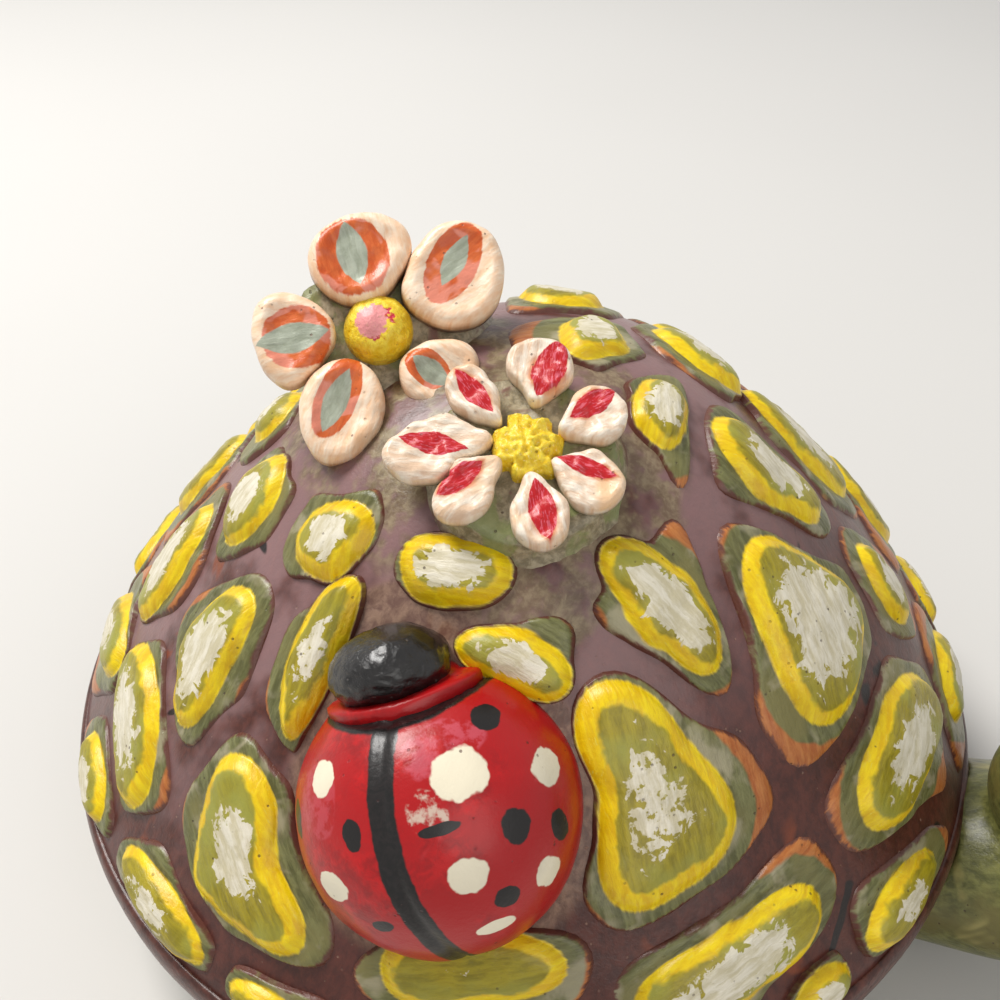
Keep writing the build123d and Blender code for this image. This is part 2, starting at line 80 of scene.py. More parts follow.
def nearest(points, line):
    """How far each point of a sheet lies from the nearest point of a line."""
    return np.min(np.linalg.norm(points[:, :, None] - line[None, None], axis=-1), axis=2)


class Face:
    """A flat place: x to its right, y up it, z out of it."""

    def __init__(self, origin, x, z):
        self.origin, self.x, self.z = origin, x, z
        self.y = np.cross(z, x)

    def over(self, flat):
        return self.origin + flat[..., :1] * self.x + flat[..., 1:] * self.y

    def place(self, flat, lift):
        """Points over flat places (x, y), standing lift in front of the face."""
        return self.over(flat) + np.asarray(lift)[..., None] * self.z


class Seat(Face):
    """A place on the shell: x round the shell, y up the slope, z outwards."""

    def __init__(self, bearing, share):
        radius = SHELL_RADIUS * share
        middle, arc = np.array([0, crown_z]), CROWN_RADIUS
        if radius > join[0]:
            middle, arc = flank_middle, FLANK_RADIUS
        height = middle[1] + math.sqrt(arc**2 - (radius - middle[0]) ** 2)
        slope = math.atan2(radius - middle[0], height - middle[1])
        out = level_way(bearing)
        outwards = np.array([*(out * math.sin(slope)), math.cos(slope)])
        super().__init__(np.array([*(out * radius), height]), np.array([-out[1], out[0], 0.0]), outwards)

    def place(self, flat, lift):
        """Points on the shell over flat places (x, y), standing lift outside the valleys."""
        points = self.over(flat)
        for _ in range(SEATING_ROUNDS):
            points = points - (shell_distance(points) - lift)[..., None] * self.z
        return points


def egg(bearing, share, long_share, wide_share, turn, taper=0.0, bend=0.0):
    """An egg-shaped pad at a bearing and a share of the shell's radius. Its length and width are
    shares of that radius too, and it is turned clockwise from up the slope."""
    long, wide, cosine = SHELL_RADIUS * long_share, SHELL_RADIUS * wide_share, np.cos(ANGLES)
    side = np.sin(ANGLES) * wide / 2 * (1 - taper * cosine) + bend * long * (cosine**2 - 0.5)
    outline = turned(cosine * long / 2, side, math.radians(90 - turn))
    return Seat(bearing, share), turn, np.stack(outline, -1)


# Of the waves that make up a listed outline, those from this one on are halved, which softens it.
FINE_WAVES = 5


def cut(bearing, share, turn, *reaches):
    """A pad with its own listed outline: how far the edge stands from its middle every 24 degrees, from
    straight round the shell towards up the slope."""
    waves = np.fft.rfft(reaches)
    waves[FINE_WAVES:] *= 0.5
    full = np.zeros(AROUND // 2 + 1, complex)
    full[: len(waves)] = waves
    reach = np.fft.irfft(full, AROUND) * AROUND / len(reaches)
    return Seat(bearing, share), turn, reach[:, None] * CIRCLE


# The pads of every scute: most of those seen full on have listed outlines, the others are eggs.
SCUTES = {
    "crown_scute_1": [cut(
        -12, 0.272, 61, 6.1, 6.4, 5.9, 4.8, 4.3, 4.4, 4.9, 5.5, 5.7, 6.7, 5.2, 4.5, 4.1, 4.3, 5.4,
    )],
    "crown_scute_2": [cut(
        33, 0.125, 0, 6.1, 5.2, 5.1, 4.8, 5.3, 6.0, 6.4, 5.5, 4.7, 4.9, 5.8, 5.3, 5.7, 6.1, 6.3,
    )],
    "crown_scute_3": [egg(38, 0.37, 0.22, 0.13, 43)],
    "crown_scute_4": [egg(-175, 0.53, 0.14, 0.14, -34, 0.10)],
    "upper_scute_1": [cut(
        1, 0.472, 6, 4.6, 4.8, 6.4, 10.7, 11.5, 9.5, 7.8, 6.5, 6.0, 6.2, 6.9, 10.5, 11.7, 8.0, 5.4,
    )],
    "upper_scute_2": [cut(
        -46, 0.505, -25, 5.6, 5.2, 5.4, 6.5, 9.2, 11.3, 7.7, 5.9, 5.2, 5.6, 5.8, 7.3, 11.5, 9.1, 6.9,
    )],
    "upper_scute_3": [cut(
        -75, 0.544, -62, 6.6, 5.0, 4.2, 4.0, 4.3, 4.7, 6.2, 8.0, 5.6, 4.2, 3.6, 3.6, 4.6, 6.9, 7.7,
    )],
    "upper_scute_4": [cut(
        -89, 0.445, -92, 7.5, 7.4, 5.9, 4.7, 4.4, 4.9, 6.2, 7.6, 6.9, 6.6, 5.6, 4.8, 4.6, 5.3, 6.5,
    )],
    "upper_scute_5": [cut(
        -119, 0.471, -10, 5.4, 6.0, 6.7, 6.5, 5.7, 5.3, 5.3, 5.7, 6.1, 6.4, 6.3, 5.9, 5.8, 6.0, 5.3,
    )],
    "upper_scute_6": [egg(-147, 0.54, 0.20, 0.15, -24)],
    "upper_scute_7": [egg(26, 0.57, 0.34, 0.15, 14, 0.10)],
    "far_upper_scutes": [
        egg(92, 0.27, 0.18, 0.16, 55),
        egg(142, 0.31, 0.15, 0.13, 40),
        egg(63, 0.54, 0.29, 0.19, 10, 0.15),
        egg(99, 0.53, 0.27, 0.20, -15, 0.12),
        egg(138, 0.57, 0.25, 0.20, 8, 0.10),
    ],
    "flank_scute_1": [cut(
        -18.5, 0.633, 17, 11.2, 10.0, 10.6, 12.4, 15.6, 13.6, 11.2, 10.6, 11.2, 13.3, 14.2, 12.4, 11.6, 12.0,
        13.1,
    )],
    "flank_scute_2": [cut(
        -56, 0.715, -2, 9.8, 8.8, 9.2, 11.4, 16.2, 15.6, 8.8, 7.4, 7.8, 9.9, 14.7, 13.5, 12.2, 12.9, 12.0,
    )],
    "flank_scute_3": [egg(-109, 0.605, 0.30, 0.10, -3, -0.10, -0.05)],
    "flank_scute_4": [cut(
        -129, 0.700, -10, 5.6, 5.9, 7.3, 10.3, 10.9, 8.9, 7.3, 6.6, 6.9, 7.7, 7.7, 9.3, 11.9, 8.6, 6.3,
    )],
    "flank_scute_5": [egg(-154, 0.73, 0.29, 0.15, -18)],
    "flank_scute_6": [egg(-178, 0.74, 0.27, 0.17, -12)],
    "flank_scute_7": [egg(6, 0.74, 0.20, 0.12, 9, 0.10)],
    "lower_scute_1": [cut(
        -14.5, 0.848, 73, 14.4, 12.0, 9.6, 8.1, 7.8, 8.2, 10.5, 14.6, 14.4, 10.8, 8.2, 7.2, 7.5, 9.4, 14.4,
    )],
    "lower_scute_2": [cut(
        -50, 0.905, 73, 13.9, 14.6, 8.4, 6.0, 5.3, 5.5, 7.0, 11.4, 15.1, 11.6, 7.3, 5.8, 5.6, 6.3, 9.2,
    )],
    "lower_scute_3": [cut(
        -79, 0.875, -99, 13.2, 10.1, 7.3, 5.9, 5.8, 6.0, 7.3, 10.0, 11.2, 10.1, 6.4, 5.2, 5.1, 5.7, 7.9,
    )],
    "lower_scute_4": [cut(
        -108, 0.850, -47, 8.1, 6.4, 6.4, 8.7, 11.4, 14.2, 11.5, 9.6, 9.0, 9.3, 9.5, 9.4, 10.0, 12.2, 14.9,
    )],
    "lower_scute_5": [egg(-135.5, 0.86, 0.33, 0.17, -62, 0.0, 0.05)],
    "far_flank_scutes": [
        egg(33, 0.80, 0.30, 0.19, 12, 0.12),
        egg(57, 0.78, 0.29, 0.21, -8, 0.15),
        egg(82, 0.77, 0.31, 0.22, 10, 0.10),
        egg(108, 0.78, 0.29, 0.20, -6, 0.18),
        egg(134, 0.77, 0.30, 0.22, 9, 0.12),
        egg(159, 0.77, 0.28, 0.19, -10, 0.10),
    ],
    "near_rim_scutes": [
        egg(8, 0.94, 0.24, 0.11, 84),
        egg(-26, 0.965, 0.25, 0.11, 90, 0.10),
        egg(-40.5, 0.978, 0.13, 0.085, 84),
        egg(-61, 0.975, 0.20, 0.08, 88),
        egg(-81, 0.98, 0.21, 0.075, 90),
        egg(-99, 0.98, 0.19, 0.08, 96),
        egg(-117, 0.965, 0.28, 0.105, 96),
        egg(-138, 0.97, 0.20, 0.10, 100),
        egg(-156, 0.90, 0.28, 0.14, 74),
        egg(-179, 0.93, 0.27, 0.12, 90),
    ],
    "far_rim_scutes": [
        egg(26, 0.955, 0.23, 0.10, 92),
        egg(45, 0.95, 0.24, 0.11, 87),
        egg(66, 0.955, 0.25, 0.10, 92),
        egg(86.5, 0.951, 0.24, 0.11, 86),
        egg(107, 0.955, 0.23, 0.10, 92),
        egg(127, 0.95, 0.25, 0.11, 88),
        egg(147, 0.955, 0.22, 0.10, 91),
        egg(164, 0.955, 0.18, 0.10, 90),
    ],
}

# How a pad seen full on was painted: the yellow ring's width in millimetres, how far the pale
# middle reaches as a share of the pad, and how solid it is.
LOOKS = {
    "crown_scute_1": (1.2, 0.60, 0.80),
    "crown_scute_2": (1.5, 0.55, 0.75),
    "upper_scute_1": (1.5, 0.52, 0.90),
    "upper_scute_2": (1.6, 0.60, 0.95),
    "upper_scute_3": (1.6, 0.56, 0.80),
    "upper_scute_4": (1.8, 0.58, 1.00),
    "upper_scute_5": (2.0, 0.50, 0.95),
    "flank_scute_1": (2.0, 0.64, 0.90),
    "flank_scute_2": (2.4, 0.44, 0.52),
    "flank_scute_3": (1.5, 0.45, 0.45),
    "flank_scute_4": (1.4, 0.58, 0.85),
    "lower_scute_1": (1.6, 0.52, 0.75),
    "lower_scute_2": (1.5, 0.56, 0.80),
    "lower_scute_3": (1.6, 0.30, 0.00),
    "lower_scute_4": (2.2, 0.42, 0.70),
}

# The ladybug's place, the ways to its side, ahead of it and out of the shell, and its head's place.
BUG = np.array([5.2, -54.4, 59.3])
BUG_SIDE = np.array([0.884, 0.352, 0.308])
BUG_AHEAD = np.array([-0.462, 0.554, 0.693])
BUG_OUT = np.array([0.073, -0.755, 0.652])
BUG_HEAD = BUG + 17 * BUG_AHEAD + 2 * BUG_OUT
BUG_RADIUS = 18.8

# The flowers' places on the shell, and what the scutes stop short of: each middle and radius.
small_ground = Seat(-74, 0.28)
LARGE_BEARING = -157.5
large_middle = Seat(LARGE_BEARING, 0.277).origin
KEEP_CLEAR = [
    (BUG, BUG_RADIUS + 1.9),
    (BUG_HEAD, 12.6),
    (small_ground.origin, 20.3),
    (large_middle, 20.0),
]

# A plate grows past its pad in small steps, and stops where a valley is left to the next plate.
# Pads further apart than NEIGHBOUR never meet.
GROWTH_STEP = 0.3
GROWTH_END = 14.0
VALLEY = 3.8
WIDEST_BORDER = 10.0
NARROWEST_BORDER = 0.5
RIM_STRIP = 1.4
NEIGHBOUR = 52.0


class Pad:
    """One scute's pad: its seat and outline, the way its strokes run, and how it was painted, which
    goes by its seed where LOOKS doesn't tell."""

    def __init__(self, node, seat, turn, outline, seed):
        self.node, self.seat, self.turn, self.outline, self.seed = node, seat, turn, outline, seed
        self.look = LOOKS.get(node, (1.0 + 0.7 * seed, 0.44 + 0.14 * seed, 0.60 + 0.35 * seed))
        self.edge = seat.place(outline, 0)

    def gaps(self, pads):
        """How far the plate reaches past the pad in each direction."""
        steps = np.arange(0, GROWTH_END, GROWTH_STEP)
        reach = np.linalg.norm(self.outline, axis=1)
        scaled = self.outline[:, None, :] * ((reach[:, None] + steps) / reach[:, None])[..., None]
        points = self.seat.place(scaled, 0)
        others = []
        for pad in pads:
            if pad is not self and np.linalg.norm(pad.seat.origin - self.seat.origin) < NEIGHBOUR:
                others.append(pad.edge)
        own, far = nearest(points, self.edge), nearest(points, np.concatenate(others))
        stop = (far - own < VALLEY) | (own > WIDEST_BORDER) | (points[..., 2] < RIM_HEIGHT + RIM_STRIP)
        for centre, radius in KEEP_CLEAR:
            stop |= np.linalg.norm(points - centre, axis=-1) < radius
        first = np.where(stop.any(axis=1), stop.argmax(axis=1), len(steps) - 1)
        gap = np.maximum(steps[first], NARROWEST_BORDER)
        # the border's edge is evened out by hand
        for _ in range(3):
            gap = (np.roll(gap, 1) + 2 * gap + np.roll(gap, -1)) / 4
        return gap


# Meshes.
def deselect():
    if bpy.context.object and bpy.context.object.mode != "OBJECT":
        bpy.ops.object.mode_set(mode="OBJECT")
    bpy.ops.object.select_all(action="DESELECT")


def picked(piece):
    """Makes a piece the active one, and the only one selected."""
    deselect()
    bpy.context.view_layer.objects.active = piece
    piece.select_set(True)


def edited(piece, *steps):
    """Takes the whole of a piece through steps of edit mode."""
    picked(piece)
    bpy.ops.object.mode_set(mode="EDIT")
    bpy.ops.mesh.select_all(action="SELECT")
    for step in steps:
        step()
    bpy.ops.object.mode_set(mode="OBJECT")


def applied(piece, kind, **settings):
    picked(piece)
    modifier = piece.modifiers.new(kind.lower(), kind)
    for name, value in settings.items():
        setattr(modifier, name, value)
    bpy.ops.object.modifier_apply(modifier=modifier.name)


def disc_blank(name, rings, around):
    """A flat round blank of clay: concentric rings from radius 1 in the middle to rings at the edge."""
    deselect()
    bpy.ops.mesh.primitive_circle_add(vertices=around, radius=1, fill_type="TRIFAN")
    disc = bpy.context.object
    disc.name = name
    bpy.ops.object.mode_set(mode="EDIT")
    bpy.ops.mesh.select_mode(type="VERT")
    bpy.ops.object.mode_set(mode="OBJECT")
    # all points but the middle one, so that the next steps start from the outer ring
    for vertex in disc.data.vertices:
        vertex.select = vertex.co.length > 0.5
    bpy.ops.object.mode_set(mode="EDIT")
    bpy.ops.mesh.select_mode(type="EDGE")
    bpy.ops.mesh.region_to_loop()
    for ring in range(1, rings):
        bpy.ops.mesh.extrude_edges_move()
        bpy.ops.transform.resize(value=((ring + 1) / ring,) * 3)
    bpy.ops.object.mode_set(mode="OBJECT")
    return disc


def vectors(items, field):
    """Three numbers for each of a mesh's items, as rows."""
    flat = np.empty(len(items) * 3)
    items.foreach_get(field, flat)
    return flat.reshape(-1, 3)


def rings_and_angles(disc):
    """Which ring each point of a blank lies on, and its angle round the ring."""
    flat = vectors(disc.data.vertices, "co")
    return np.rint(np.hypot(flat[:, 0], flat[:, 1])).astype(int), np.arctan2(flat[:, 1], flat[:, 0])


def set_points(piece, points):
    piece.data.vertices.foreach_set("co", (points * MM).ravel())
    piece.data.update()


def add_values(piece, **fields):
    """Fields for the paint to read: one value for each point, or the same one for them all."""
    for name, values in fields.items():
        layer = piece.data.attributes.new(name, "FLOAT", "POINT")
        layer.data.foreach_set("value", np.full(len(layer.data), values, dtype=np.float32))


def add_map(piece, name, across, along):
    """A flat map for the paint to follow, kept as one of the piece's UV maps."""
    layer = piece.data.uv_layers.new(name=name)
    index = np.empty(len(piece.data.loops), dtype=np.int32)
    piece.data.loops.foreach_get("vertex_index", index)
    layer.data.foreach_set("uv", np.stack([across[index], along[index]], -1).astype(np.float32).ravel())


def add_stroke_map(piece, across, along):
    """The way the brush went, in centimetres."""
    add_map(piece, "stroke", across / 10, along / 10)


def uneven(points, size, amount, seed=0.0):
    """Hand-made unevenness: a small push for each point, in millimetres."""
    shift = Vector((seed, 0, 0))
    return np.array([noise.noise(Vector(point) / size + shift) for point in points]) * amount


def smooth_step(value):
    value = np.clip(value, 0, 1)
    return value * value * (3 - 2 * value)


def joined(pieces, name):
    if len(pieces) > 1:
        picked(pieces[0])
        for piece in pieces:
            piece.select_set(True)
        bpy.ops.object.join()
    pieces[0].name = pieces[0].data.name = name
    return pieces[0]


def dressed(piece, material, slot, *nodes):
    """Paints a finished piece and puts it in the place of the CAD nodes it was made for."""
    piece.data.materials.clear()
    piece.data.materials.append(material)
    piece.data.polygons.foreach_set("use_smooth", [True] * len(piece.data.polygons))
    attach(piece, "root")
    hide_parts(*nodes)


# Paint.
def colour(red, green, blue):
    """A colour as given, from 0 to 255, made linear."""
    linear = []
    for part in (red, green, blue):
        linear.append(part / 255 / 12.92 if part <= 10 else ((part / 255 + 0.055) / 1.055) ** 2.4)
    return (*linear, 1)


class Tree:
    """Adds nodes to a material or a group, and links them as they are added."""

    def __init__(self, tree):
        self.tree = tree

    def put(self, socket, value):
        """Links or sets a socket. Three numbers for a colour are given from 0 to 255."""
        if isinstance(value, bpy.types.NodeSocket):
            self.tree.links.new(value, socket)
        elif socket.type == "RGBA" and len(value) == 3:
            socket.default_value = colour(*value)
        else:
            socket.default_value = value

    def add(self, kind, inputs=(), **settings):
        node = self.tree.nodes.new("ShaderNode" + kind)
        for name, value in settings.items():
            setattr(node, name, value)
        for key, value in dict(inputs).items():
            self.put(node.inputs[key], value)
        return node

    def math(self, operation, *values):
        return self.add("Math", dict(enumerate(values)), operation=operation).outputs[0]

    def plus(self, first, second):
        return self.math("ADD", first, second)

    def minus(self, first, second):
        return self.math("SUBTRACT", first, second)

    def times(self, first, second):
        return self.math("MULTIPLY", first, second)

    def times_plus(self, first, second, third):
        return self.math("MULTIPLY_ADD", first, second, third)

    def vector(self, operation, *values):
        node = self.add("VectorMath", dict(enumerate(values)), operation=operation)
        return node.outputs[1 if operation in ("DOT_PRODUCT", "DISTANCE", "LENGTH") else 0]

    def sway(self, field, amount):
        """A field from 0 to 1 as a swing either way, amount wide."""
        return self.times(self.minus(field, 0.5), amount)

    def pushed(self, value, field, amount):
        return self.plus(value, self.sway(field, amount))

    def noise(self, vector, scale, detail=3.0, rough=0.55, warp=0.0):
        inputs = {"Vector": vector, "Scale": scale, "Detail": detail, "Roughness": rough, "Distortion": warp}
        return self.add("TexNoise", inputs).outputs[0]

    def step(self, value, low, high):
        """0 below low and 1 above high, smoothly; the other way round where low is the larger."""
        ends = {0: value, 1: low, 2: high, 3: 0.0, 4: 1.0}
        return self.add("MapRange", ends, interpolation_type="SMOOTHSTEP", clamp=True).outputs[0]

    def mix(self, share, under, over):
        node = self.add("Mix", data_type="RGBA")
        for key, value in ((0, share), (6, under), (7, over)):
            self.put(node.inputs[key], value)
        return node.outputs[2]

    def parts(self, vector):
        return self.add("SeparateXYZ", {0: vector}).outputs

    def field(self, name):
        return self.add("Attribute", attribute_name=name).outputs["Fac"]


def new_group(name, inputs, outputs):
    group = bpy.data.node_groups.new(name, "ShaderNodeTree")
    for label, (kind, default) in inputs.items():
        socket = group.interface.new_socket(label, in_out="INPUT", socket_type="NodeSocket" + kind)
        if default is not None:
            socket.default_value = default
    for label in outputs:
        group.interface.new_socket(label, in_out="OUTPUT", socket_type="NodeSocketFloat")
    tree = Tree(group)
    return group, tree, group.nodes.new("NodeGroupInput").outputs, group.nodes.new("NodeGroupOutput").inputs


# Brush strokes: streaks drawn out along one way of a stroke map, from 0 to 1.
strokes, tree, given, shown = new_group(
    "brush_strokes",
    {"Stroke": ("Vector", None), "Fineness": ("Float", 1.0), "Draw": ("Vector", (14.0, 2.2, 14.0))},
    ("Streak", "Bristle"),
)
drawn = tree.vector("MULTIPLY", given["Stroke"], given["Draw"])
drawn = tree.vector("ADD", drawn, tree.noise(given["Stroke"], 3.0, 2.0))
tree.put(shown["Streak"], tree.noise(drawn, given["Fineness"], 4.0, 0.62))
tree.put(shown["Bristle"], tree.noise(drawn, tree.times(given["Fineness"], 3.2), 2.0, 0.5))

# Hand-laid paint: a slow drift of tone, specks where the clay's pits show, and a height for the bump.
laid, tree, given, shown = new_group(
    "laid_paint",
    {"Place": ("Vector", None), "Streak": ("Float", 0.5), "Ridge": ("Float", 1.0)},
    ("Drift", "Specks", "Height", "Roughness"),
)
drift = tree.noise(given["Place"], 90.0, 3.0)
grit = tree.noise(given["Place"], 1500.0, 2.0, 0.6)
pits = tree.add("TexVoronoi", {"Vector": given["Place"], "Scale": 620.0, "Randomness": 1.0})
pit = tree.step(pits.outputs["Distance"], 0.16, 0.08)
pit = tree.times(pit, tree.step(tree.noise(given["Place"], 260.0, 1.0), 0.52, 0.66))
height = tree.times_plus(given["Streak"], given["Ridge"], tree.times(grit, 0.35))
tree.put(shown["Drift"], drift)
tree.put(shown["Specks"], pit)
tree.put(shown["Height"], tree.minus(height, tree.times(pit, 1.2)))
tree.put(shown["Roughness"], tree.times_plus(drift, 0.30, tree.times_plus(pit, 0.3, 0.22)))

# A dab of paint: 1 inside an ellipsoid round its centre, 0 outside.
dab, tree, given, shown = new_group(
    "painted_dot",
    {
        "Place": ("Vector", None), "Centre": ("Vector", None), "Size": ("Vector", None),
        "Wobble": ("Float", 0.0),
    },
    ("Mask",),
)
away = tree.vector("DIVIDE", tree.vector("SUBTRACT", given["Place"], given["Centre"]), given["Size"])
away = tree.vector("LENGTH", away)
tree.put(shown["Mask"], tree.step(tree.plus(away, given["Wobble"]), 1.06, 0.94))

# How deep the brush's ridges are, in metres.
RIDGE_DEPTH = 0.0004


class Paint(Tree):
    """One painted and varnished material: every paint's start and finish."""

    def __init__(self, name, ridge, draw, fineness=1.0, stroke_map=False):
        self.material = bpy.data.materials.new(name)
        self.material.use_nodes = True
        super().__init__(self.material.node_tree)
        self.place = self.add("TexCoord").outputs["Object"]
        if stroke_map:
            way = self.add("UVMap", uv_map="stroke").outputs[0]
        else:
            way = self.vector("MULTIPLY", self.place, (100.0, 100.0, 100.0))
        brush = self.add("Group", {"Stroke": way, "Fineness": fineness, "Draw": draw}, node_tree=strokes)
        self.streak, self.bristle = brush.outputs
        inputs = {"Place": self.place, "Streak": self.streak, "Ridge": ridge}
        self.coat = self.add("Group", inputs, node_tree=laid).outputs
        self.drift = self.coat["Drift"]

    def patches(self, scale, detail=3.0, rough=0.55, warp=0.0):
        return self.noise(self.place, scale, detail, rough, warp)

    def streaked(self, dark, light, low=0.32, high=0.70):
        """Two tones of one paint, brushed into each other."""
        return self.mix(self.step(self.streak, low, high), dark, light)

    def dot(self, place, centre, size, wobble):
        inputs = {"Place": place, "Centre": centre, "Size": size, "Wobble": wobble}
        return self.add("Group", inputs, node_tree=dab).outputs[0]

    def marked(self, name):
        """A flat map's two parts: how far across the mark, and how far along it."""
        return self.parts(self.add("UVMap", uv_map=name).outputs[0])[:2]

    def leaf(self, ragged):
        """Above 0 inside the pointed core of a petal, with a ragged edge."""
        across, ahead = self.marked("core_mark")
        leaf = self.minus(self.minus(1.0, self.times(ahead, ahead)), self.math("ABSOLUTE", across))
        return self.pushed(leaf, self.streak, ragged)

    def finish(self, paint, varnish, bump, rough=None, speck=(60, 42, 36)):
        paint = self.mix(self.times(self.coat["Specks"], 0.7), paint, speck)
        ridges = {"Height": self.coat["Height"], "Strength": bump, "Distance": RIDGE_DEPTH}
        finish = {
            "Base Color": paint,
            "Roughness": self.coat["Roughness"] if rough is None else rough,
            "Coat Weight": varnish,
            "Coat Roughness": 0.22,
            "Specular IOR Level": 0.28,
            "Normal": self.add("Bump", ridges).outputs[0],
        }
        for name, value in finish.items():
            self.put(self.tree.nodes["Principled BSDF"].inputs[name], value)
        return self.material


def scute_paint():
    pot = Paint("scute_paint", ridge=1.1, draw=(11.0, 2.0, 11.0), stroke_map=True)
    depth, share, edge, tone = (pot.field(name) for name in ("depth", "share", "edge", "tone"))
    ring, white, chalk = (pot.field(name) for name in ("ring", "white", "chalk"))
    # the plate: grey-green, tan where it lies far from the pad, brown at its very edge
    green = pot.streaked((80, 80, 40), (118, 118, 74), 0.35, 0.68)
    green = pot.mix(pot.step(pot.drift, 0.45, 0.68), green, (118, 112, 66))
    pale = pot.step(pot.patches(150.0, 3.0, 0.6, 0.4), 0.50, 0.66)
    green = pot.mix(pot.times(pale, 0.8), green, (158, 150, 122))
    tan = pot.streaked((158, 84, 34), (186, 118, 62), 0.3, 0.7)
    far = pot.pushed(pot.pushed(depth, pot.drift, 4.5), tone, -1.6)
    plate = pot.mix(pot.step(far, -3.2, -3.8), green, tan)
    plate = pot.mix(pot.step(pot.pushed(edge, pot.streak, 1.8), 0.50, 0.0), plate, (96, 56, 46))
    # the pad: a bright ring of thick yellow, olive inside it, and a dry-brushed middle
    ring_depth = pot.pushed(pot.pushed(depth, pot.patches(420.0, 2.0), 1.6), pot.streak, 0.9)
    ring_depth = pot.pushed(ring_depth, pot.patches(120.0, 1.0), 2.8)
    yellow = pot.streaked((214, 172, 4), (238, 210, 22), 0.30, 0.72)
    yellow = pot.mix(pot.step(pot.bristle, 0.60, 0.78), yellow, (222, 202, 70))
    olive = pot.streaked((124, 112, 14), (164, 148, 30), 0.30, 0.70)
    olive = pot.mix(pot.step(pot.drift, 0.42, 0.66), olive, (150, 148, 62))
    pad = pot.mix(pot.step(pot.minus(ring_depth, ring), 0.35, -0.35), olive, yellow)
    inside = pot.pushed(pot.pushed(share, pot.streak, 0.30), pot.patches(330.0, 3.0, 0.65, 0.8), 1.1)
    inside = pot.minus(inside, white)
    veil = pot.times(pot.step(inside, 0.24, -0.12), pot.times(chalk, 0.35))
    pad = pot.mix(veil, pad, (182, 168, 84))
    dry = pot.pushed(pot.patches(700.0, 3.0, 0.6), pot.streak, 0.35)
    dry = pot.plus(dry, pot.times(pot.minus(chalk, 0.62), 0.5))
    dry = pot.minus(dry, pot.times(inside, 0.4))
    pale = pot.streaked((200, 190, 160), (228, 221, 204), 0.35, 0.65)
    laid_on = pot.times(pot.step(inside, 0.02, -0.03), pot.step(dry, 0.38, 0.46))
    pad = pot.mix(pot.times(laid_on, 0.92), pad, pale)
    # where the yellow stops: feathered over the plate
    whole = pot.mix(pot.step(pot.pushed(depth, pot.streak, 1.0), -0.45, 0.15), plate, pad)
    return pot.finish(whole, varnish=0.15, bump=0.45)


def valley_paint():
    pot = Paint("valley_paint", ridge=0.6, draw=(5.0, 5.0, 2.0), fineness=1.3)
    brown = pot.streaked((62, 26, 19), (88, 42, 31))
    parts = pot.parts(pot.place)
    # a painted mauve sheen on the brown, stronger high up and towards the tail where the window's light
    # falls, and patchy
    high = pot.step(pot.times_plus(parts[0], -0.35, parts[2]), 0.040, 0.078)
    painted_sheen = pot.times(pot.step(pot.drift, 0.30, 0.54), pot.times_plus(high, 0.72, 0.02))
    brown = pot.mix(painted_sheen, brown, (146, 114, 114))
    brown = pot.mix(pot.step(pot.patches(55.0, 3.0, 0.6, 0.6), 0.64, 0.68), brown, (122, 58, 32))
    brown = pot.mix(pot.step(pot.patches(80.0, 2.0, 0.5, 1.0), 0.33, 0.29), brown, (26, 18, 18))
    # dusty paint left round the ladybug, and a greener dust round the flowers
    dust = pot.streaked((98, 70, 56), (146, 118, 96), 0.35, 0.68)
    green = pot.streaked((106, 88, 62), (150, 136, 104), 0.35, 0.68)
    patchy = pot.times(pot.step(pot.patches(150.0, 3.0, 0.65), 0.40, 0.56), 0.75)
    wobble, loose = pot.sway(pot.streak, 0.10), pot.sway(pot.drift, 0.6)
    for middle, radius, edge, share, paint in (
        (small_ground.origin, 23.5, loose, patchy, green),
        (large_middle, 21.0, loose, patchy, green),
        (BUG, BUG_RADIUS + 2.6, wobble, 0.8, dust),
        (BUG_HEAD + BUG_AHEAD, 12.4, wobble, 0.8, dust),
    ):
        halo = pot.dot(pot.place, middle * MM, (radius * MM,) * 3, edge)
        brown = pot.mix(pot.times(halo, share), brown, paint)
    return pot.finish(brown, varnish=0.16, bump=0.40, speck=(150, 120, 104))


def rim_paint():
    pot = Paint("rim_paint", ridge=0.8, draw=(5.0, 5.0, 9.0), fineness=1.2)
    brown, band = pot.streaked((60, 30, 24), (92, 50, 40)), pot.streaked((146, 82, 34), (196, 128, 56))
    level = pot.pushed(pot.parts(pot.place)[2], pot.streak, 0.005)
    return pot.finish(pot.mix(pot.step(level, 0.0252, 0.0236), brown, band), varnish=0.22, bump=0.4)


def skin_paint():
    pot = Paint("skin_paint", ridge=0.8, draw=(3.2, 7.0, 7.0), fineness=1.2)
    olive = pot.streaked((82, 84, 44), (124, 124, 70))
    olive = pot.mix(pot.step(pot.drift, 0.46, 0.66), olive, (104, 98, 52))
    olive = pot.mix(pot.step(pot.patches(60.0, 3.0, 0.6, 0.8), 0.60, 0.68), olive, (150, 142, 84))
    # the olive darkened over the lowest centimetre, a painted shade near the floor
    low = pot.step(pot.parts(pot.place)[2], 0.010, 0.001)
    return pot.finish(pot.mix(pot.times(low, 0.6), olive, (58, 52, 34)), varnish=0.30, bump=0.45)


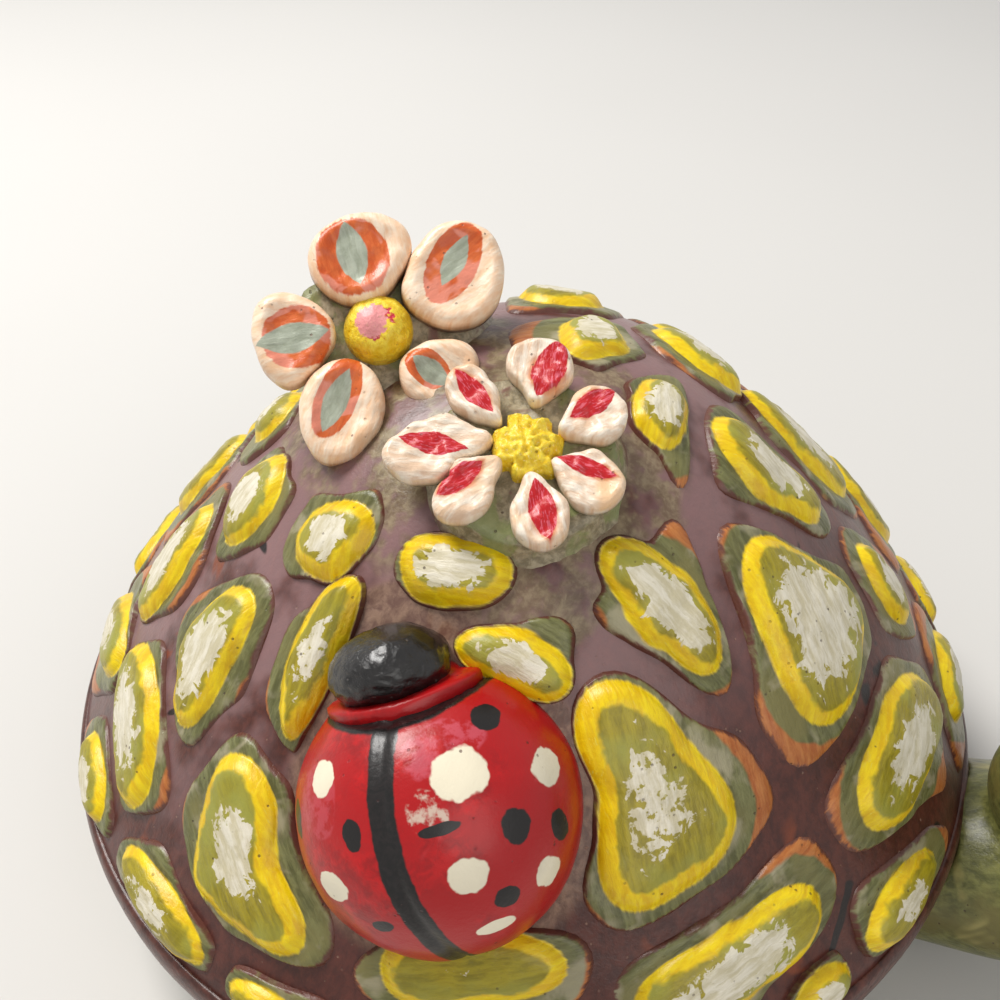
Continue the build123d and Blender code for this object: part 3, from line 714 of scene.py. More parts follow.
def mound_paint():
    pot = Paint("mound_paint", ridge=0.7, draw=(6.0, 6.0, 6.0), fineness=1.4)
    dust = pot.streaked((124, 114, 90), (172, 160, 134), 0.35, 0.68)
    green = pot.patches(170.0, 3.0, 0.6, 0.6)
    dust = pot.mix(pot.times(pot.step(green, 0.48, 0.60), 0.8), dust, (128, 136, 84))
    dust = pot.mix(pot.step(green, 0.40, 0.30), dust, (124, 92, 82))
    # brown at the back and at the foot, as the shell is; the dark brown at the back also stands as painted
    # shade behind the large flower's petals
    back = pot.step(pot.vector("DOT_PRODUCT", pot.place, (-0.3, 0.95, 0.0)), 0.004, 0.012)
    dust = pot.mix(pot.times(back, 0.9), dust, (84, 52, 42))
    dust = pot.mix(pot.step(pot.pushed(pot.field("foot"), pot.drift, 0.9), 0.50, 0.85), dust, (104, 72, 64))
    return pot.finish(dust, varnish=0.12, bump=0.6)


def large_petal_paint():
    pot = Paint("large_petal_paint", ridge=1.0, draw=(10.0, 2.4, 10.0), stroke_map=True)
    depth = pot.field("depth")
    face = pot.streaked((238, 194, 154), (248, 228, 204), 0.30, 0.70)
    # the coloured middle, and in it the grey-green core
    inner = pot.streaked((196, 80, 28), (216, 108, 52), 0.30, 0.66)
    inner = pot.mix(pot.step(pot.patches(190.0, 2.0, 0.6, 0.5), 0.50, 0.56), inner, (224, 136, 112))
    across, ahead = pot.marked("inner_mark")
    away = pot.math("SQRT", pot.times_plus(across, across, pot.times(ahead, ahead)))
    face = pot.mix(pot.step(pot.pushed(away, pot.streak, 0.22), 1.03, 0.97), face, inner)
    core = pot.streaked((146, 152, 132), (176, 182, 164), 0.3, 0.7)
    face = pot.mix(pot.step(pot.leaf(0.35), -0.06, 0.06), face, core)
    # the side, and a dark brown painted shade low down on it, where it sits on the clay
    outside = pot.streaked((206, 156, 112), (236, 204, 168), 0.3, 0.7)
    paint = pot.mix(pot.step(depth, 0.2, -1.2), face, outside)
    painted_shade = pot.step(pot.pushed(depth, pot.field("tone"), 1.5), -2.0, -3.2)
    paint = pot.mix(pot.times(painted_shade, 0.85), paint, (88, 52, 44))
    return pot.finish(paint, varnish=0.22, bump=0.5, speck=(120, 90, 76))


def small_petal_paint():
    pot = Paint("small_petal_paint", ridge=1.1, draw=(12.0, 2.6, 12.0), stroke_map=True)
    cream = pot.streaked((222, 190, 160), (242, 230, 212), 0.34, 0.66)
    cream = pot.mix(pot.step(pot.drift, 0.50, 0.66), cream, (236, 196, 154))
    leaf = pot.leaf(0.55)
    blush = pot.times(pot.step(leaf, -0.45, 0.0), pot.step(pot.drift, 0.46, 0.56))
    cream = pot.mix(pot.times(blush, 0.8), cream, (204, 112, 58))
    red = pot.mix(pot.step(pot.bristle, 0.50, 0.64), (184, 10, 22), (208, 88, 104))
    paint = pot.mix(pot.step(leaf, -0.05, 0.05), cream, red)
    # the side darkened low down, a painted shade where the petal sits on the clay
    low = pot.step(pot.field("depth"), -0.8, -2.0)
    paint = pot.mix(pot.times(low, 0.8), paint, (136, 122, 94))
    return pot.finish(paint, varnish=0.30, bump=0.7, speck=(120, 90, 76))


def button_paint(name, patches, cream):
    pot = Paint(name, ridge=1.2, draw=(7.0, 7.0, 7.0), fineness=1.3)
    yellow = pot.streaked((226, 184, 14), (248, 224, 70))
    for centre, radius, shade in patches:
        away = pot.times(pot.vector("DISTANCE", pot.place, centre * MM), 1 / MM)
        yellow = pot.mix(pot.step(pot.pushed(away, pot.streak, 4.0), radius, radius - 0.4), yellow, shade)
    yellow = pot.mix(pot.times(pot.step(pot.bristle, 0.60, 0.72), cream), yellow, (250, 240, 176))
    return pot.finish(yellow, varnish=0.25, bump=0.8, speck=(150, 110, 40))


# The CAD pieces that are gone over by hand. The lip, the neck's root and the limbs are drawn in.
LIP_START = 76.0
LIP_SHARE = 0.38
NECK_SHIFT = 6.5
NECK_FREE = 97.0
NECK_BLEND = 13.0
LIMB_SHIFT = 12.0
MERGE_WITHIN = 0.00001


def lip_radius(r):
    """The lip rolled tight under the scutes, so that they make the shell's widest line."""
    return np.where(r > LIP_START, LIP_START + (r - LIP_START) * LIP_SHARE, r)


def neck_radius(r):
    """The neck's root carried in to where the tighter lip and belly meet it."""
    return r - NECK_SHIFT * smooth_step((NECK_FREE - r) / NECK_BLEND)


def limb_radius(r):
    """A leg or the tail tucked under the shell, so that it doesn't show from above its edge."""
    return r - LIMB_SHIFT


def clay_copy(name, nodes, voxel, rounds, size, amount, inward, new_radius=None):
    """A CAD piece, or several that meet, gone over by hand: merged, re-skinned, smoothed, uneven,
    and drawn in towards the shell's axis where new_radius says how far out each point ends."""
    copies = []
    for node in nodes:
        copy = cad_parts[node].copy()
        copy.data = copy.data.copy()
        bpy.context.collection.objects.link(copy)
        copy.hide_render = copy.hide_viewport = False
        copies.append(copy)
    piece = joined(copies, name)
    piece.parent = None
    piece.matrix_world = Matrix()
    edited(piece, lambda: bpy.ops.mesh.remove_doubles(threshold=MERGE_WITHIN))
    applied(piece, "REMESH", mode="VOXEL", voxel_size=voxel * MM)
    applied(piece, "SMOOTH", factor=0.5, iterations=rounds)
    points = vectors(piece.data.vertices, "co") / MM
    push = uneven(points, size, amount) - inward
    points = points + vectors(piece.data.vertices, "normal") * push[:, None]
    points[:, 2] = np.maximum(points[:, 2], 0)
    if new_radius:
        r = np.hypot(points[:, 0], points[:, 1])
        points[:, :2] *= (new_radius(r) / r)[:, None]
    set_points(piece, points)
    return piece


# The blank that every scute, petal, button and mound is made from.
RINGS = 20
blank = disc_blank("clay_blank", RINGS, AROUND)
edited(blank, bpy.ops.mesh.region_to_loop, bpy.ops.mesh.edge_face_add)
ring_of, angle_of = rings_and_angles(blank)
step_of = np.rint(angle_of / (2 * math.pi) * AROUND).astype(int) % AROUND
tones = np.random.default_rng(11)


def along_rings(values):
    """One value for each point of the blank, from one for each ring and step."""
    return values[ring_of, step_of]


def pressed(name, points, out, last_ring, bumps, sink=0.0):
    """A copy of the blank pressed to points, and made uneven as far as last_ring. A bump is its size,
    its height and its seed."""
    piece = blank.copy()
    piece.data = blank.data.copy()
    piece.name = piece.data.name = name
    bpy.context.collection.objects.link(piece)
    places = along_rings(points)
    push = sum(uneven(places, *bump) for bump in bumps) - sink
    set_points(piece, places + out * (push * (ring_of <= last_ring))[:, None])
    return piece


def spread_rings(edge_ring, reach, flat_depth, depths):
    """Each ring's share of the way out to a pad's or petal's edge: even steps over the flat middle,
    then one ring at each of the depths inside the edge."""
    shares = np.zeros((RINGS + 1, AROUND))
    inner = edge_ring - len(depths) + 1
    for k in range(inner):
        shares[k] = (1 - flat_depth / reach) * k / (inner - 1)
    for k, depth in enumerate(depths):
        shares[inner + k] = 1 - depth / reach
    return shares


# A scute's rings: those of the pad's rounded shoulder by their depth inside its edge, and those of
# the plate by how far across its border they lie, and at its own edge how much of its lift they keep.
PAD_EDGE = 13
PLATE_EDGE = 17
PAD_SHOULDER = (2.3, 1.6, 1.0, 0.5, 0.18, 0.0)
PAD_FLAT_DEPTH = 3.0
LEAST_REACH = 3.6
BORDER_SHARES = (0.10, 0.30, 0.55, 0.80, 0.93, 1.0)
PLATE_EDGE_LIFTS = (0.92, 0.60, 0.15)
PLATE_LIFT = 0.8
PAD_LIFT = 2.4
PAD_ROUNDING = 2.6
PAD_DOME = 0.35
SKIRT_OUT = 0.6
SKIRT_DOWN = 0.5
FAR_FROM_EDGE = 9.0


def scute(pad, name):
    """A plate that fills its cell, with a rounded pad raised in the middle of it."""
    reach = np.linalg.norm(pad.outline, axis=1)
    gap = pad.gaps(pads)
    shares = spread_rings(PAD_EDGE, np.maximum(reach, LEAST_REACH), PAD_FLAT_DEPTH, PAD_SHOULDER)
    for k, part in enumerate(BORDER_SHARES):
        shares[PAD_EDGE + 1 + k] = 1 + gap * part / reach
    shares[RINGS] = 1 + (gap + SKIRT_OUT) / reach
    flat = pad.outline[None] * shares[..., None]
    depth = nearest(pad.seat.place(flat, 0), pad.edge)
    on_pad = shares <= 1
    rise = 1 - (1 - np.clip(depth / PAD_ROUNDING, 0, 1)) ** 2
    raised = (PAD_LIFT - PLATE_LIFT) * rise + PAD_DOME * (1 - shares**2)
    lift = PLATE_LIFT + np.where(on_pad, raised, 0)
    for k, part in enumerate(PLATE_EDGE_LIFTS):
        lift[PLATE_EDGE + k] = PLATE_LIFT * part
    lift[RINGS] = -SKIRT_DOWN
    bumps = (7.0, 0.42, pad.seed * 90), (2.2, 0.16, pad.seed * 50)
    piece = pressed(name, pad.seat.place(flat, lift), pad.seat.z, PLATE_EDGE + 1, bumps)
    ring, white, chalk = pad.look
    to_edge = np.maximum(gap * (1 - (shares - 1) * reach / gap), 0)
    add_values(
        piece,
        depth=along_rings(np.where(on_pad, depth, -depth)),
        share=along_rings(np.minimum(shares, 1.0)),
        edge=along_rings(np.where(on_pad, FAR_FROM_EDGE, to_edge)),
        tone=pad.seed, ring=ring, white=white, chalk=chalk,
    )
    ahead, aside = turned(flat[..., 0], flat[..., 1], -math.radians(90 - pad.turn))
    add_stroke_map(piece, along_rings(aside) + pad.seed * 400, along_rings(ahead) + pad.seed * 150)
    return piece


pads = []
for node, rows in SCUTES.items():
    for row in rows:
        pads.append(Pad(node, *row, float(tones.random())))
scute_material = scute_paint()
groups = {}
for k, pad in enumerate(pads):
    groups.setdefault(pad.node, []).append(scute(pad, f"{pad.node}_clay_{k}"))
for node, pieces in groups.items():
    dressed(joined(pieces, node + "_painted"), scute_material, "painted_scutes", node)

# The shell under them: rings from the crown to its foot, and one more that turns straight down.
SKIN_FOOT = 51
SKIN_AROUND = 144
SKIN_TURN_DOWN = 1.5
SKIN_THICKNESS = 6.0
skin = disc_blank("shell_skin", SKIN_FOOT + 1, SKIN_AROUND)
ring, bearing = rings_and_angles(skin)
crown_length = CROWN_RADIUS * CROWN_ANGLE
foot_angle = math.atan2(SHELL_RADIUS - flank_middle[0], RIM_HEIGHT - flank_middle[1])
flank_length = FLANK_RADIUS * (foot_angle - CROWN_ANGLE)
travelled = np.minimum(ring, SKIN_FOOT) / SKIN_FOOT * (crown_length + flank_length)
on_crown = travelled < crown_length
lean = np.where(on_crown, travelled / CROWN_RADIUS, CROWN_ANGLE + (travelled - crown_length) / FLANK_RADIUS)
arc = np.where(on_crown, CROWN_RADIUS, FLANK_RADIUS)
out = np.where(on_crown, 0, flank_middle[0]) + np.sin(lean) * arc
up = np.where(on_crown, crown_z, flank_middle[1]) + np.cos(lean) * arc
up = up - np.where(ring > SKIN_FOOT, SKIN_TURN_DOWN, 0)
points = np.stack([out * np.cos(bearing), out * np.sin(bearing), up], -1)
push = uneven(points, 9.0, 0.35) * (ring < SKIN_FOOT - 1)
points += push[:, None] * points / np.linalg.norm(points, axis=1)[:, None]
set_points(skin, points)
edited(skin, bpy.ops.mesh.normals_make_consistent)
applied(skin, "SOLIDIFY", thickness=SKIN_THICKNESS * MM, offset=-1.0)
dressed(skin, valley_paint(), "brown_valleys", "shell_dome")

# Rim, belly, neck and limbs. Their numbers are the voxel size, the rounds of smoothing, the size and
# height of the unevenness, and how much comes off all over.
rim = clay_copy("rolled_rim", ["rim_coil"], 0.9, 4, 11.0, 0.28, 0.30, lip_radius)
dressed(rim, rim_paint(), "brown_rim", "rim_coil")
skin_material = skin_paint()
belly = clay_copy("belly_clay", ["belly_plate"], 1.2, 3, 14.0, 0.3, 0.2)
dressed(belly, skin_material, "painted_belly", "belly_plate")
throat = clay_copy("neck_and_head", ["neck", "head"], 0.55, 7, 12.0, 0.35, 0.2, neck_radius)
dressed(throat, skin_material, "olive_skin", "neck", "head")
for node in ("front_left_leg", "front_right_leg", "rear_left_leg", "rear_right_leg", "tail"):
    limb = clay_copy(node + "_clay", [node], 0.6, 6, 9.0, 0.35, 0.2, limb_radius)
    dressed(limb, skin_material, "olive_skin", node)

# The flowers' faces. The large one leans out over the flank, on its lump of clay.
LARGE_OUT = 21.6
LARGE_FACE_Z = 100.8
LARGE_SET_BACK = 5.0
SMALL_LIFT = 2.2
heading, tilt = level_way(-64), math.radians(48)
large_z = np.array([*(heading * math.cos(tilt)), math.sin(tilt)])
large_x = np.array([-heading[1], heading[0], 0.0])
large_origin = np.array([*(LARGE_OUT * level_way(LARGE_BEARING)), LARGE_FACE_Z]) - LARGE_SET_BACK * large_z
large_seat = Face(large_origin, large_x, large_z)
small_seat = Face(small_ground.origin + SMALL_LIFT * small_ground.z, small_ground.x, small_ground.z)

# Each petal has its painted core: half its width and length, where it lies to the side and ahead of the
# petal's middle and how far it leans, and on the large ones half the coloured middle's width and length.
# Then comes the petal's outline, listed point by point, from the flower's middle.
LARGE_PETALS = {
    "large_petal_top": ((2.2, 4.8, 1.0, 0.4, 0, 5.3, 5.8), [
        (-9.3, 10.9), (-8.4, 13.4), (-5.6, 16.0), (-1.3, 17.3), (2.6, 16.6), (5.6, 14.0),
        (5.8, 10.6), (4.0, 7.6), (1.5, 5.0), (-2.4, 3.8), (-6.4, 4.9), (-8.6, 7.6),
    ]),
    "large_petal_front": ((1.6, 4.3, 1.2, 1.4, 27, 3.6, 6.6), [
        (3.6, 5.0), (4.6, 8.4), (7.2, 12.2), (10.4, 14.7), (14.4, 15.0), (17.6, 13.0),
        (19.0, 9.8), (18.9, 6.0), (17.3, 1.8), (14.0, -0.6), (10.0, -1.0), (7.0, 0.6),
    ]),
    "large_petal_rear": ((2.2, 5.2, 0.2, 0.2, 4, 4.6, 4.9), [
        (-17.9, 1.5), (-17.0, 4.6), (-14.4, 6.0), (-11.2, 5.6), (-8.0, 3.8), (-6.2, 0.6),
        (-7.9, -3.7), (-10.6, -6.6), (-13.5, -7.8), (-16.2, -5.8), (-17.6, -2.2),
    ]),
    "large_petal_bottom": ((1.7, 4.9, -1.2, -0.6, 0, 2.9, 6.4), [
        (-11.5, -8.6), (-8.6, -5.0), (-5.2, -4.2), (-1.8, -5.8), (0.0, -9.2), (-0.4, -13.4),
        (-2.8, -17.0), (-6.6, -19.3), (-9.8, -19.0), (-11.6, -16.2), (-12.2, -12.2),
    ]),
    "large_petal_lower": ((1.6, 3.4, -0.6, -1.2, 0, 2.6, 3.6), [
        (2.4, -5.6), (5.4, -3.2), (9.7, -2.5), (13.4, -4.3), (14.0, -8.0), (12.2, -11.6),
        (8.4, -13.2), (4.8, -12.0), (2.4, -9.2),
    ]),
}
SMALL_PETALS = {
    "small_petal_1": ((2.2, 4.7, -1.3, 0.2, -12), [
        (-2.9, 12.5), (-2.6, 15.0), (-0.4, 16.8), (2.6, 17.2), (5.2, 15.6), (6.3, 12.7), (5.3, 9.6),
        (2.2, 7.2), (0.2, 7.4), (-1.4, 9.9),
    ]),
    "small_petal_2": ((1.6, 3.8, 1.0, 0.9, 4), [
        (4.0, 3.6), (5.5, 7.2), (7.8, 9.6), (10.6, 9.8), (13.0, 7.8), (13.3, 4.6), (11.5, 2.2),
        (8.5, 1.4), (5.6, 1.9),
    ]),
    "small_petal_3": ((1.2, 4.1, 1.1, -0.8, 4), [
        (3.4, -1.0), (6.0, 0.3), (8.6, 0.6), (11.4, -1.6), (13.1, -4.6), (11.4, -7.3), (8.4, -8.2),
        (5.6, -6.6), (3.7, -3.6),
    ]),
    "small_petal_4": ((1.8, 4.3, 0.2, 0.3, 0), [
        (-0.4, -3.4), (2.2, -3.2), (4.2, -5.4), (5.8, -9.0), (5.2, -12.0), (2.6, -13.6), (-0.2, -12.6),
        (-1.7, -9.4), (-1.6, -6.0),
    ]),
    "small_petal_5": ((1.6, 3.8, -1.0, 0.4, 6), [
        (-11.9, -7.8), (-9.8, -4.2), (-7.0, -0.6), (-4.4, 0.1), (-3.0, -1.7), (-3.6, -4.8),
        (-5.0, -8.4), (-8.0, -10.2), (-11.0, -9.6),
    ]),
    "small_petal_6": ((1.6, 4.6, -0.3, 0.6, -8), [
        (-19.0, -0.6), (-16.6, 2.0), (-12.6, 4.6), (-8.4, 4.9), (-4.0, 3.2), (-5.4, 0.6), (-8.6, -1.6),
        (-12.6, -4.4), (-16.8, -3.9),
    ]),
    "small_petal_7": ((1.5, 4.1, 0.1, 0.0, 0), [
        (-11.0, 10.5), (-9.8, 12.4), (-7.4, 12.8), (-5.0, 10.2), (-3.0, 6.4), (-3.0, 4.2), (-5.6, 4.0),
        (-8.6, 5.7), (-10.6, 7.9),
    ]),
}

# A petal's rings: those of its shoulder by depth, as shares of the shoulder's width, then those down
# its side by height, as shares of the side's, and a last one sunk into what is under it.
PETAL_EDGE = 17
PETAL_SHOULDER = np.array([1.0, 0.93, 0.78, 0.58, 0.38, 0.2, 0.07, 0.0])
PETAL_SIDE = (0.55, 0.1)
PETAL_SUNK = -1.2
PETAL_ROOT = 0.9
PETAL_FLAT_DEPTH = 1.15
DISH_START = 0.9
DISH_SLOPE = 1.1
# An outline keeps its waves up to this one, which eases its corners.
CORNER_WAVES = 11
# The coloured middle reaches this much further back than the core does.
INNER_BACK = 0.6


def rounded_outline(corners):
    """The middle of a listed outline, and the outline round it at even angles, its corners eased."""
    corners = np.array(corners)
    middle = (corners.max(axis=0) + corners.min(axis=0)) / 2
    steps = corners - middle
    angle, length = np.arctan2(steps[:, 1], steps[:, 0]), np.linalg.norm(steps, axis=1)
    order = np.argsort(angle)
    waves = np.fft.rfft(np.interp(ANGLES, angle[order], length[order], period=2 * math.pi))
    waves[CORNER_WAVES:] = 0
    return middle, np.fft.irfft(waves, AROUND)[:, None] * CIRCLE


def petal(node, seat, mark, corners, seed, thick, shoulder, dish, rough, pinch):
    """A thick clay petal: upright side, rounded shoulder and a slightly hollowed face."""
    middle, outline = rounded_outline(corners)
    way = middle / np.linalg.norm(middle)
    across_way = np.array([-way[1], way[0]])
    ahead, aside = outline @ way, outline @ across_way
    aside = aside * (1 - pinch * smooth_step(-ahead / np.abs(ahead).max()))
    outline = ahead[:, None] * way + aside[:, None] * across_way
    reach = np.linalg.norm(outline, axis=1)
    shares = spread_rings(PETAL_EDGE, reach, PETAL_FLAT_DEPTH * shoulder, PETAL_SHOULDER * shoulder)
    shares[PETAL_EDGE + 1:] = 1
    shares[RINGS] = PETAL_ROOT
    flat = outline[None] * shares[..., None]
    depth = nearest(flat, outline)
    part = np.clip(depth / shoulder, 0, 1)
    top = thick - shoulder * (1 - np.sqrt(1 - (1 - part) ** 2))
    top = top - dish * smooth_step((depth - shoulder * DISH_START) / (shoulder * DISH_SLOPE))
    for k, low in enumerate(PETAL_SIDE):
        top[PETAL_EDGE + 1 + k] = (thick - shoulder) * low
    top[RINGS] = PETAL_SUNK
    bumps = (4.5, 0.45, seed * 70), (1.6, 0.22 * rough, seed * 30)
    piece = pressed(node + "_painted", seat.place(middle + flat, top), seat.z, PETAL_EDGE, bumps)
    depth[PETAL_EDGE + 1:] = top[PETAL_EDGE + 1:] - (thick - shoulder)
    add_values(piece, depth=along_rings(depth), tone=seed)
    ahead = along_rings(flat[..., 0] * way[0] + flat[..., 1] * way[1])
    aside = along_rings(-flat[..., 0] * way[1] + flat[..., 1] * way[0])
    add_stroke_map(piece, aside, ahead)
    half_width, half_length, side, forward, lean, *inner = mark
    across, along = turned(aside - side, ahead - forward, math.radians(lean))
    add_map(piece, "core_mark", across / half_width, along / half_length)
    if inner:
        add_map(piece, "inner_mark", across / inner[0], (along + INNER_BACK) / inner[1])
    return piece


LARGE_CUT = {"thick": 5.0, "shoulder": 1.8, "dish": 0.6, "rough": 1.0, "pinch": 0.10}
SMALL_CUT = {"thick": 2.8, "shoulder": 1.0, "dish": 0.2, "rough": 2.4, "pinch": 0.42}
for petals, seat, form, material, slot in (
    (LARGE_PETALS, large_seat, LARGE_CUT, large_petal_paint(), "peach_petals"),
    (SMALL_PETALS, small_seat, SMALL_CUT, small_petal_paint(), "cream_petals"),
):
    for node, (mark, corners) in petals.items():
        piece = petal(node, seat, mark, corners, float(tones.random()), **form)
        dressed(piece, material, slot, node)


# A ragged button's edge: how many lobes go round it, where they start, and how deep they are.
LOBES = ((7, 1.0, 0.6), (11, 4.0, 0.4), (4, 0.0, 0.3))
BUTTON_FULLNESS = 2.6
BUTTON_SIDE = 0.6


def button(name, seat, middle, radius, height, rough, ragged=0.0):
    """A round flower middle, domed, with the paint laid on thickly."""
    shares = np.ones((RINGS + 1, AROUND))
    shares[: PETAL_EDGE + 1] = np.sin(np.linspace(0, 1, PETAL_EDGE + 1) * math.pi / 2)[:, None]
    lobes = sum(deep * np.sin(count * ANGLES + start) for count, start, deep in LOBES)
    flat = CIRCLE[None] * shares[..., None] * radius
    flat = flat * (1 + (ragged * lobes)[None, :, None] * shares[..., None])
    top = height * (1 - shares**BUTTON_FULLNESS) ** 0.5
    for k in range(1, RINGS - PETAL_EDGE + 1):
        top[PETAL_EDGE + k] = -BUTTON_SIDE * k
    return pressed(name, seat.place(middle + flat, top), seat.z, PETAL_EDGE, ((2.6, 0.5), (0.9, rough)))


# Paint left on the large button: where, how wide, and its colour.
BUTTON_PATCHES = (
    (large_seat.place(np.array([1.3, 1.3]), 6.2), 1.7, (196, 30, 60)),
    (large_seat.place(np.array([-0.9, -2.2]), 6.0), 1.6, (190, 34, 62)),
    (large_seat.place(np.array([-1.1, 0.5]), 6.2), 2.9, (232, 150, 150)),
)
large_button = button("large_flower_middle", large_seat, np.array([0, 0.3]), 5.1, 5.6, 0.12)
large_yellow = button_paint("large_button_paint", BUTTON_PATCHES, 0.15)
dressed(large_button, large_yellow, "yellow_centres", "large_flower_button")
small_button = button("small_flower_middle", small_seat, np.array([0.1, 1.2]), 4.7, 3.0, 0.95, 0.16)
small_yellow = button_paint("small_button_paint", (), 0.6)
dressed(small_button, small_yellow, "yellow_centres", "small_flower_button")

# A mound's first rings are its top, and the others go down to a little under the shell's valleys.
MOUND_TOP = 9
MOUND_UNDER = -0.8
MOUND_SPREAD = 1.15
MOUND_SINK = 0.4


def mound(name, seat, ground, top_radius, foot_radius, drop):
    """A lump of clay from a flower's seat down to the shell, flaring out where it meets it."""
    top = seat.place(CIRCLE * top_radius, np.zeros(AROUND))
    aside = top - ground.origin
    foot = np.stack([aside @ ground.x, aside @ ground.y], -1)
    foot = foot + foot / np.linalg.norm(foot, axis=1)[:, None] * (foot_radius - top_radius)
    step = ground.place(foot, MOUND_UNDER) - top
    down = (step @ ground.z)[:, None] * ground.z
    rows = np.zeros((RINGS + 1, AROUND, 3))
    for k in range(MOUND_TOP + 1):
        rows[k] = seat.origin + (top - seat.origin) * (k / MOUND_TOP)
    for k in range(MOUND_TOP + 1, RINGS + 1):
        part = (k - MOUND_TOP) / (RINGS - MOUND_TOP)
        rows[k] = top + (step - down) * part**MOUND_SPREAD + down * part**drop
    piece = pressed(name, rows, ground.z, RINGS, ((5.0, 0.9), (1.8, 0.3)), MOUND_SINK)
    add_values(piece, foot=np.clip((ring_of - MOUND_TOP) / (RINGS - MOUND_TOP), 0, 1))
    return piece


large_ground = Seat(LARGE_BEARING, LARGE_OUT / SHELL_RADIUS)
mound_material = mound_paint()
lump = mound("large_flower_lump", large_seat, large_ground, 12.8, 18.0, 0.62)
dressed(lump, mound_material, "green_mounds", "large_flower_mound")
swell = mound("small_flower_swell", small_seat, small_ground, 12.2, 15.0, 0.8)
dressed(swell, mound_material, "green_mounds", "small_flower_mound")
bpy.data.objects.remove(blank)

# The ladybug. The line between its wings and the front edge of its back are shallow bends, the line
# a groove and the edge a step down to the collar.
LINE_SIDE = -2.2
LINE_BEND = 0.009
LINE_BACK = 2.0
GROOVE_DEPTH = 0.35
GROOVE_WIDTH = 0.7
FRONT_EDGE = 13.2
BLACK_EDGE = 12.1
FRONT_BEND = 0.019
FRONT_SIDE = 1.5
STEP_DEPTH = 0.9
STEP_WIDTH = 0.9
# The collar's crescent: where it is cut off, and how far the cut goes down.
COLLAR_EDGE = 15.3
COLLAR_BEND = 0.018
COLLAR_SIDE = 1.0
COLLAR_FLARE = 0.10
COLLAR_TOP = 11.0
COLLAR_CUT = 2.6
COLLAR_CUT_WIDTH = 2.2
# How far ahead the collar and the head start to be squashed, and to what share.
COLLAR_SQUASH = (15.0, 0.45)
CAP_SQUASH = (15.5, 0.63)
CAP_NARROWING = 0.90
CAP_SHIFT = 0.5


def bug_place(local):
    return BUG + local[..., :1] * BUG_SIDE + local[..., 1:2] * BUG_AHEAD + local[..., 2:] * BUG_OUT


def squashed(values, start, share):
    """Values past start brought nearer to it, to a share of the distance."""
    return np.where(values > start, start + (values - start) * share, values)


def back_shape(local, way):
    """A domed back, dipping along the line between the wings and where the collar sits."""
    line = LINE_SIDE + LINE_BEND * (local[:, 1] + LINE_BACK) ** 2
    dip = GROOVE_DEPTH * np.exp(-(((local[:, 0] - line) / GROOVE_WIDTH) ** 2)) * (local[:, 2] > 3)
    edge = FRONT_EDGE + FRONT_BEND * (local[:, 0] - FRONT_SIDE) ** 2
    dip = dip + STEP_DEPTH * smooth_step((local[:, 1] - edge + 0.4) / STEP_WIDTH) * (local[:, 2] > -2)
    places = bug_place(local)
    return local + way * (uneven(places, 8.0, 0.30) + uneven(places, 2.6, 0.09) - dip - 0.1)[:, None]


def collar_shape(local, way):
    """The back of a ball, cut off in a crescent where the head comes through it."""
    edge = COLLAR_EDGE + COLLAR_BEND * (local[:, 0] - COLLAR_SIDE) ** 2
    edge = edge + COLLAR_FLARE * np.maximum(COLLAR_TOP - local[:, 2], 0)
    shrink = COLLAR_CUT * smooth_step((local[:, 1] - edge + 0.6) / COLLAR_CUT_WIDTH)
    local = local + way * (uneven(bug_place(local), 4.0, 0.25) - shrink)[:, None]
    local[:, 1] = squashed(local[:, 1], *COLLAR_SQUASH)
    return local


def cap_shape(local, way):
    """A rough ball for the head, narrowed and pushed back into the collar."""
    places = bug_place(local)
    local = local + way * (uneven(places, 5.0, 0.5) + uneven(places, 1.3, 0.28))[:, None]
    local[:, 1] = squashed(local[:, 1], *CAP_SQUASH)
    local[:, 0] = local[:, 0] * CAP_NARROWING - CAP_SHIFT
    return local


def round_lump(name, centre, radius, segments, shape):
    """A ball of clay in the ladybug's own frame (side, ahead, out), its pole standing outwards."""
    deselect()
    bpy.ops.mesh.primitive_uv_sphere_add(segments=segments, ring_count=segments // 2, radius=1)
    ball = bpy.context.object
    ball.name = ball.data.name = name
    way = vectors(ball.data.vertices, "co")
    set_points(ball, bug_place(shape(np.array(centre) + way * radius, way)))
    return ball


# Spots on the ladybug's back: the middle in its own frame, the width and the length.
WHITE_DOTS = [
    ((-9.5, 9.0, 13.5), 3.8, 4.6),
    ((7.6, 5.9, 16.2), 6.8, 5.8),
    ((16.5, 3.0, 8.5), 4.4, 4.7),
    ((-11.3, -3.6, 14.6), 4.9, 3.9),
    ((5.8, -5.4, 17.2), 4.9, 4.6),
    ((13.4, -9.0, 9.6), 3.6, 4.2),
    ((6.1, -13.0, 12.1), 4.9, 1.8),
    ((-18.2, 2.4, 7.6), 1.2, 3.2),
]
BLACK_DOTS = [
    ((11.2, 10.9, 10.4), 3.9, 3.4),
    ((12.1, -1.7, 14.3), 3.4, 4.2),
    ((16.1, -4.3, 8.8), 2.0, 4.2),
    ((8.7, -9.6, 13.7), 3.1, 2.9),
    ((-15.4, 4.5, 9.8), 2.0, 4.9),
    ((-6.3, 2.3, 17.6), 2.6, 3.9),
    ((-6.4, -9.3, 15.0), 2.9, 1.8),
    ((4.3, 0.8, 18.3), 5.2, 1.4),
]
# Worn places: the middle, half the size, how solid, and the colour.
SMEARS = [
    ((5.6, 9.0, 15.2), (5.4, 3.0, 6.0), 0.5, (206, 96, 112)),
    ((-11.0, 6.6, 14.0), (3.6, 5.0, 5.0), 0.35, (198, 84, 98)),
    ((3.4, 2.7, 18.0), (2.4, 2.9, 4.0), 0.9, (206, 186, 168)),
]
DOT_DEPTH = 0.6


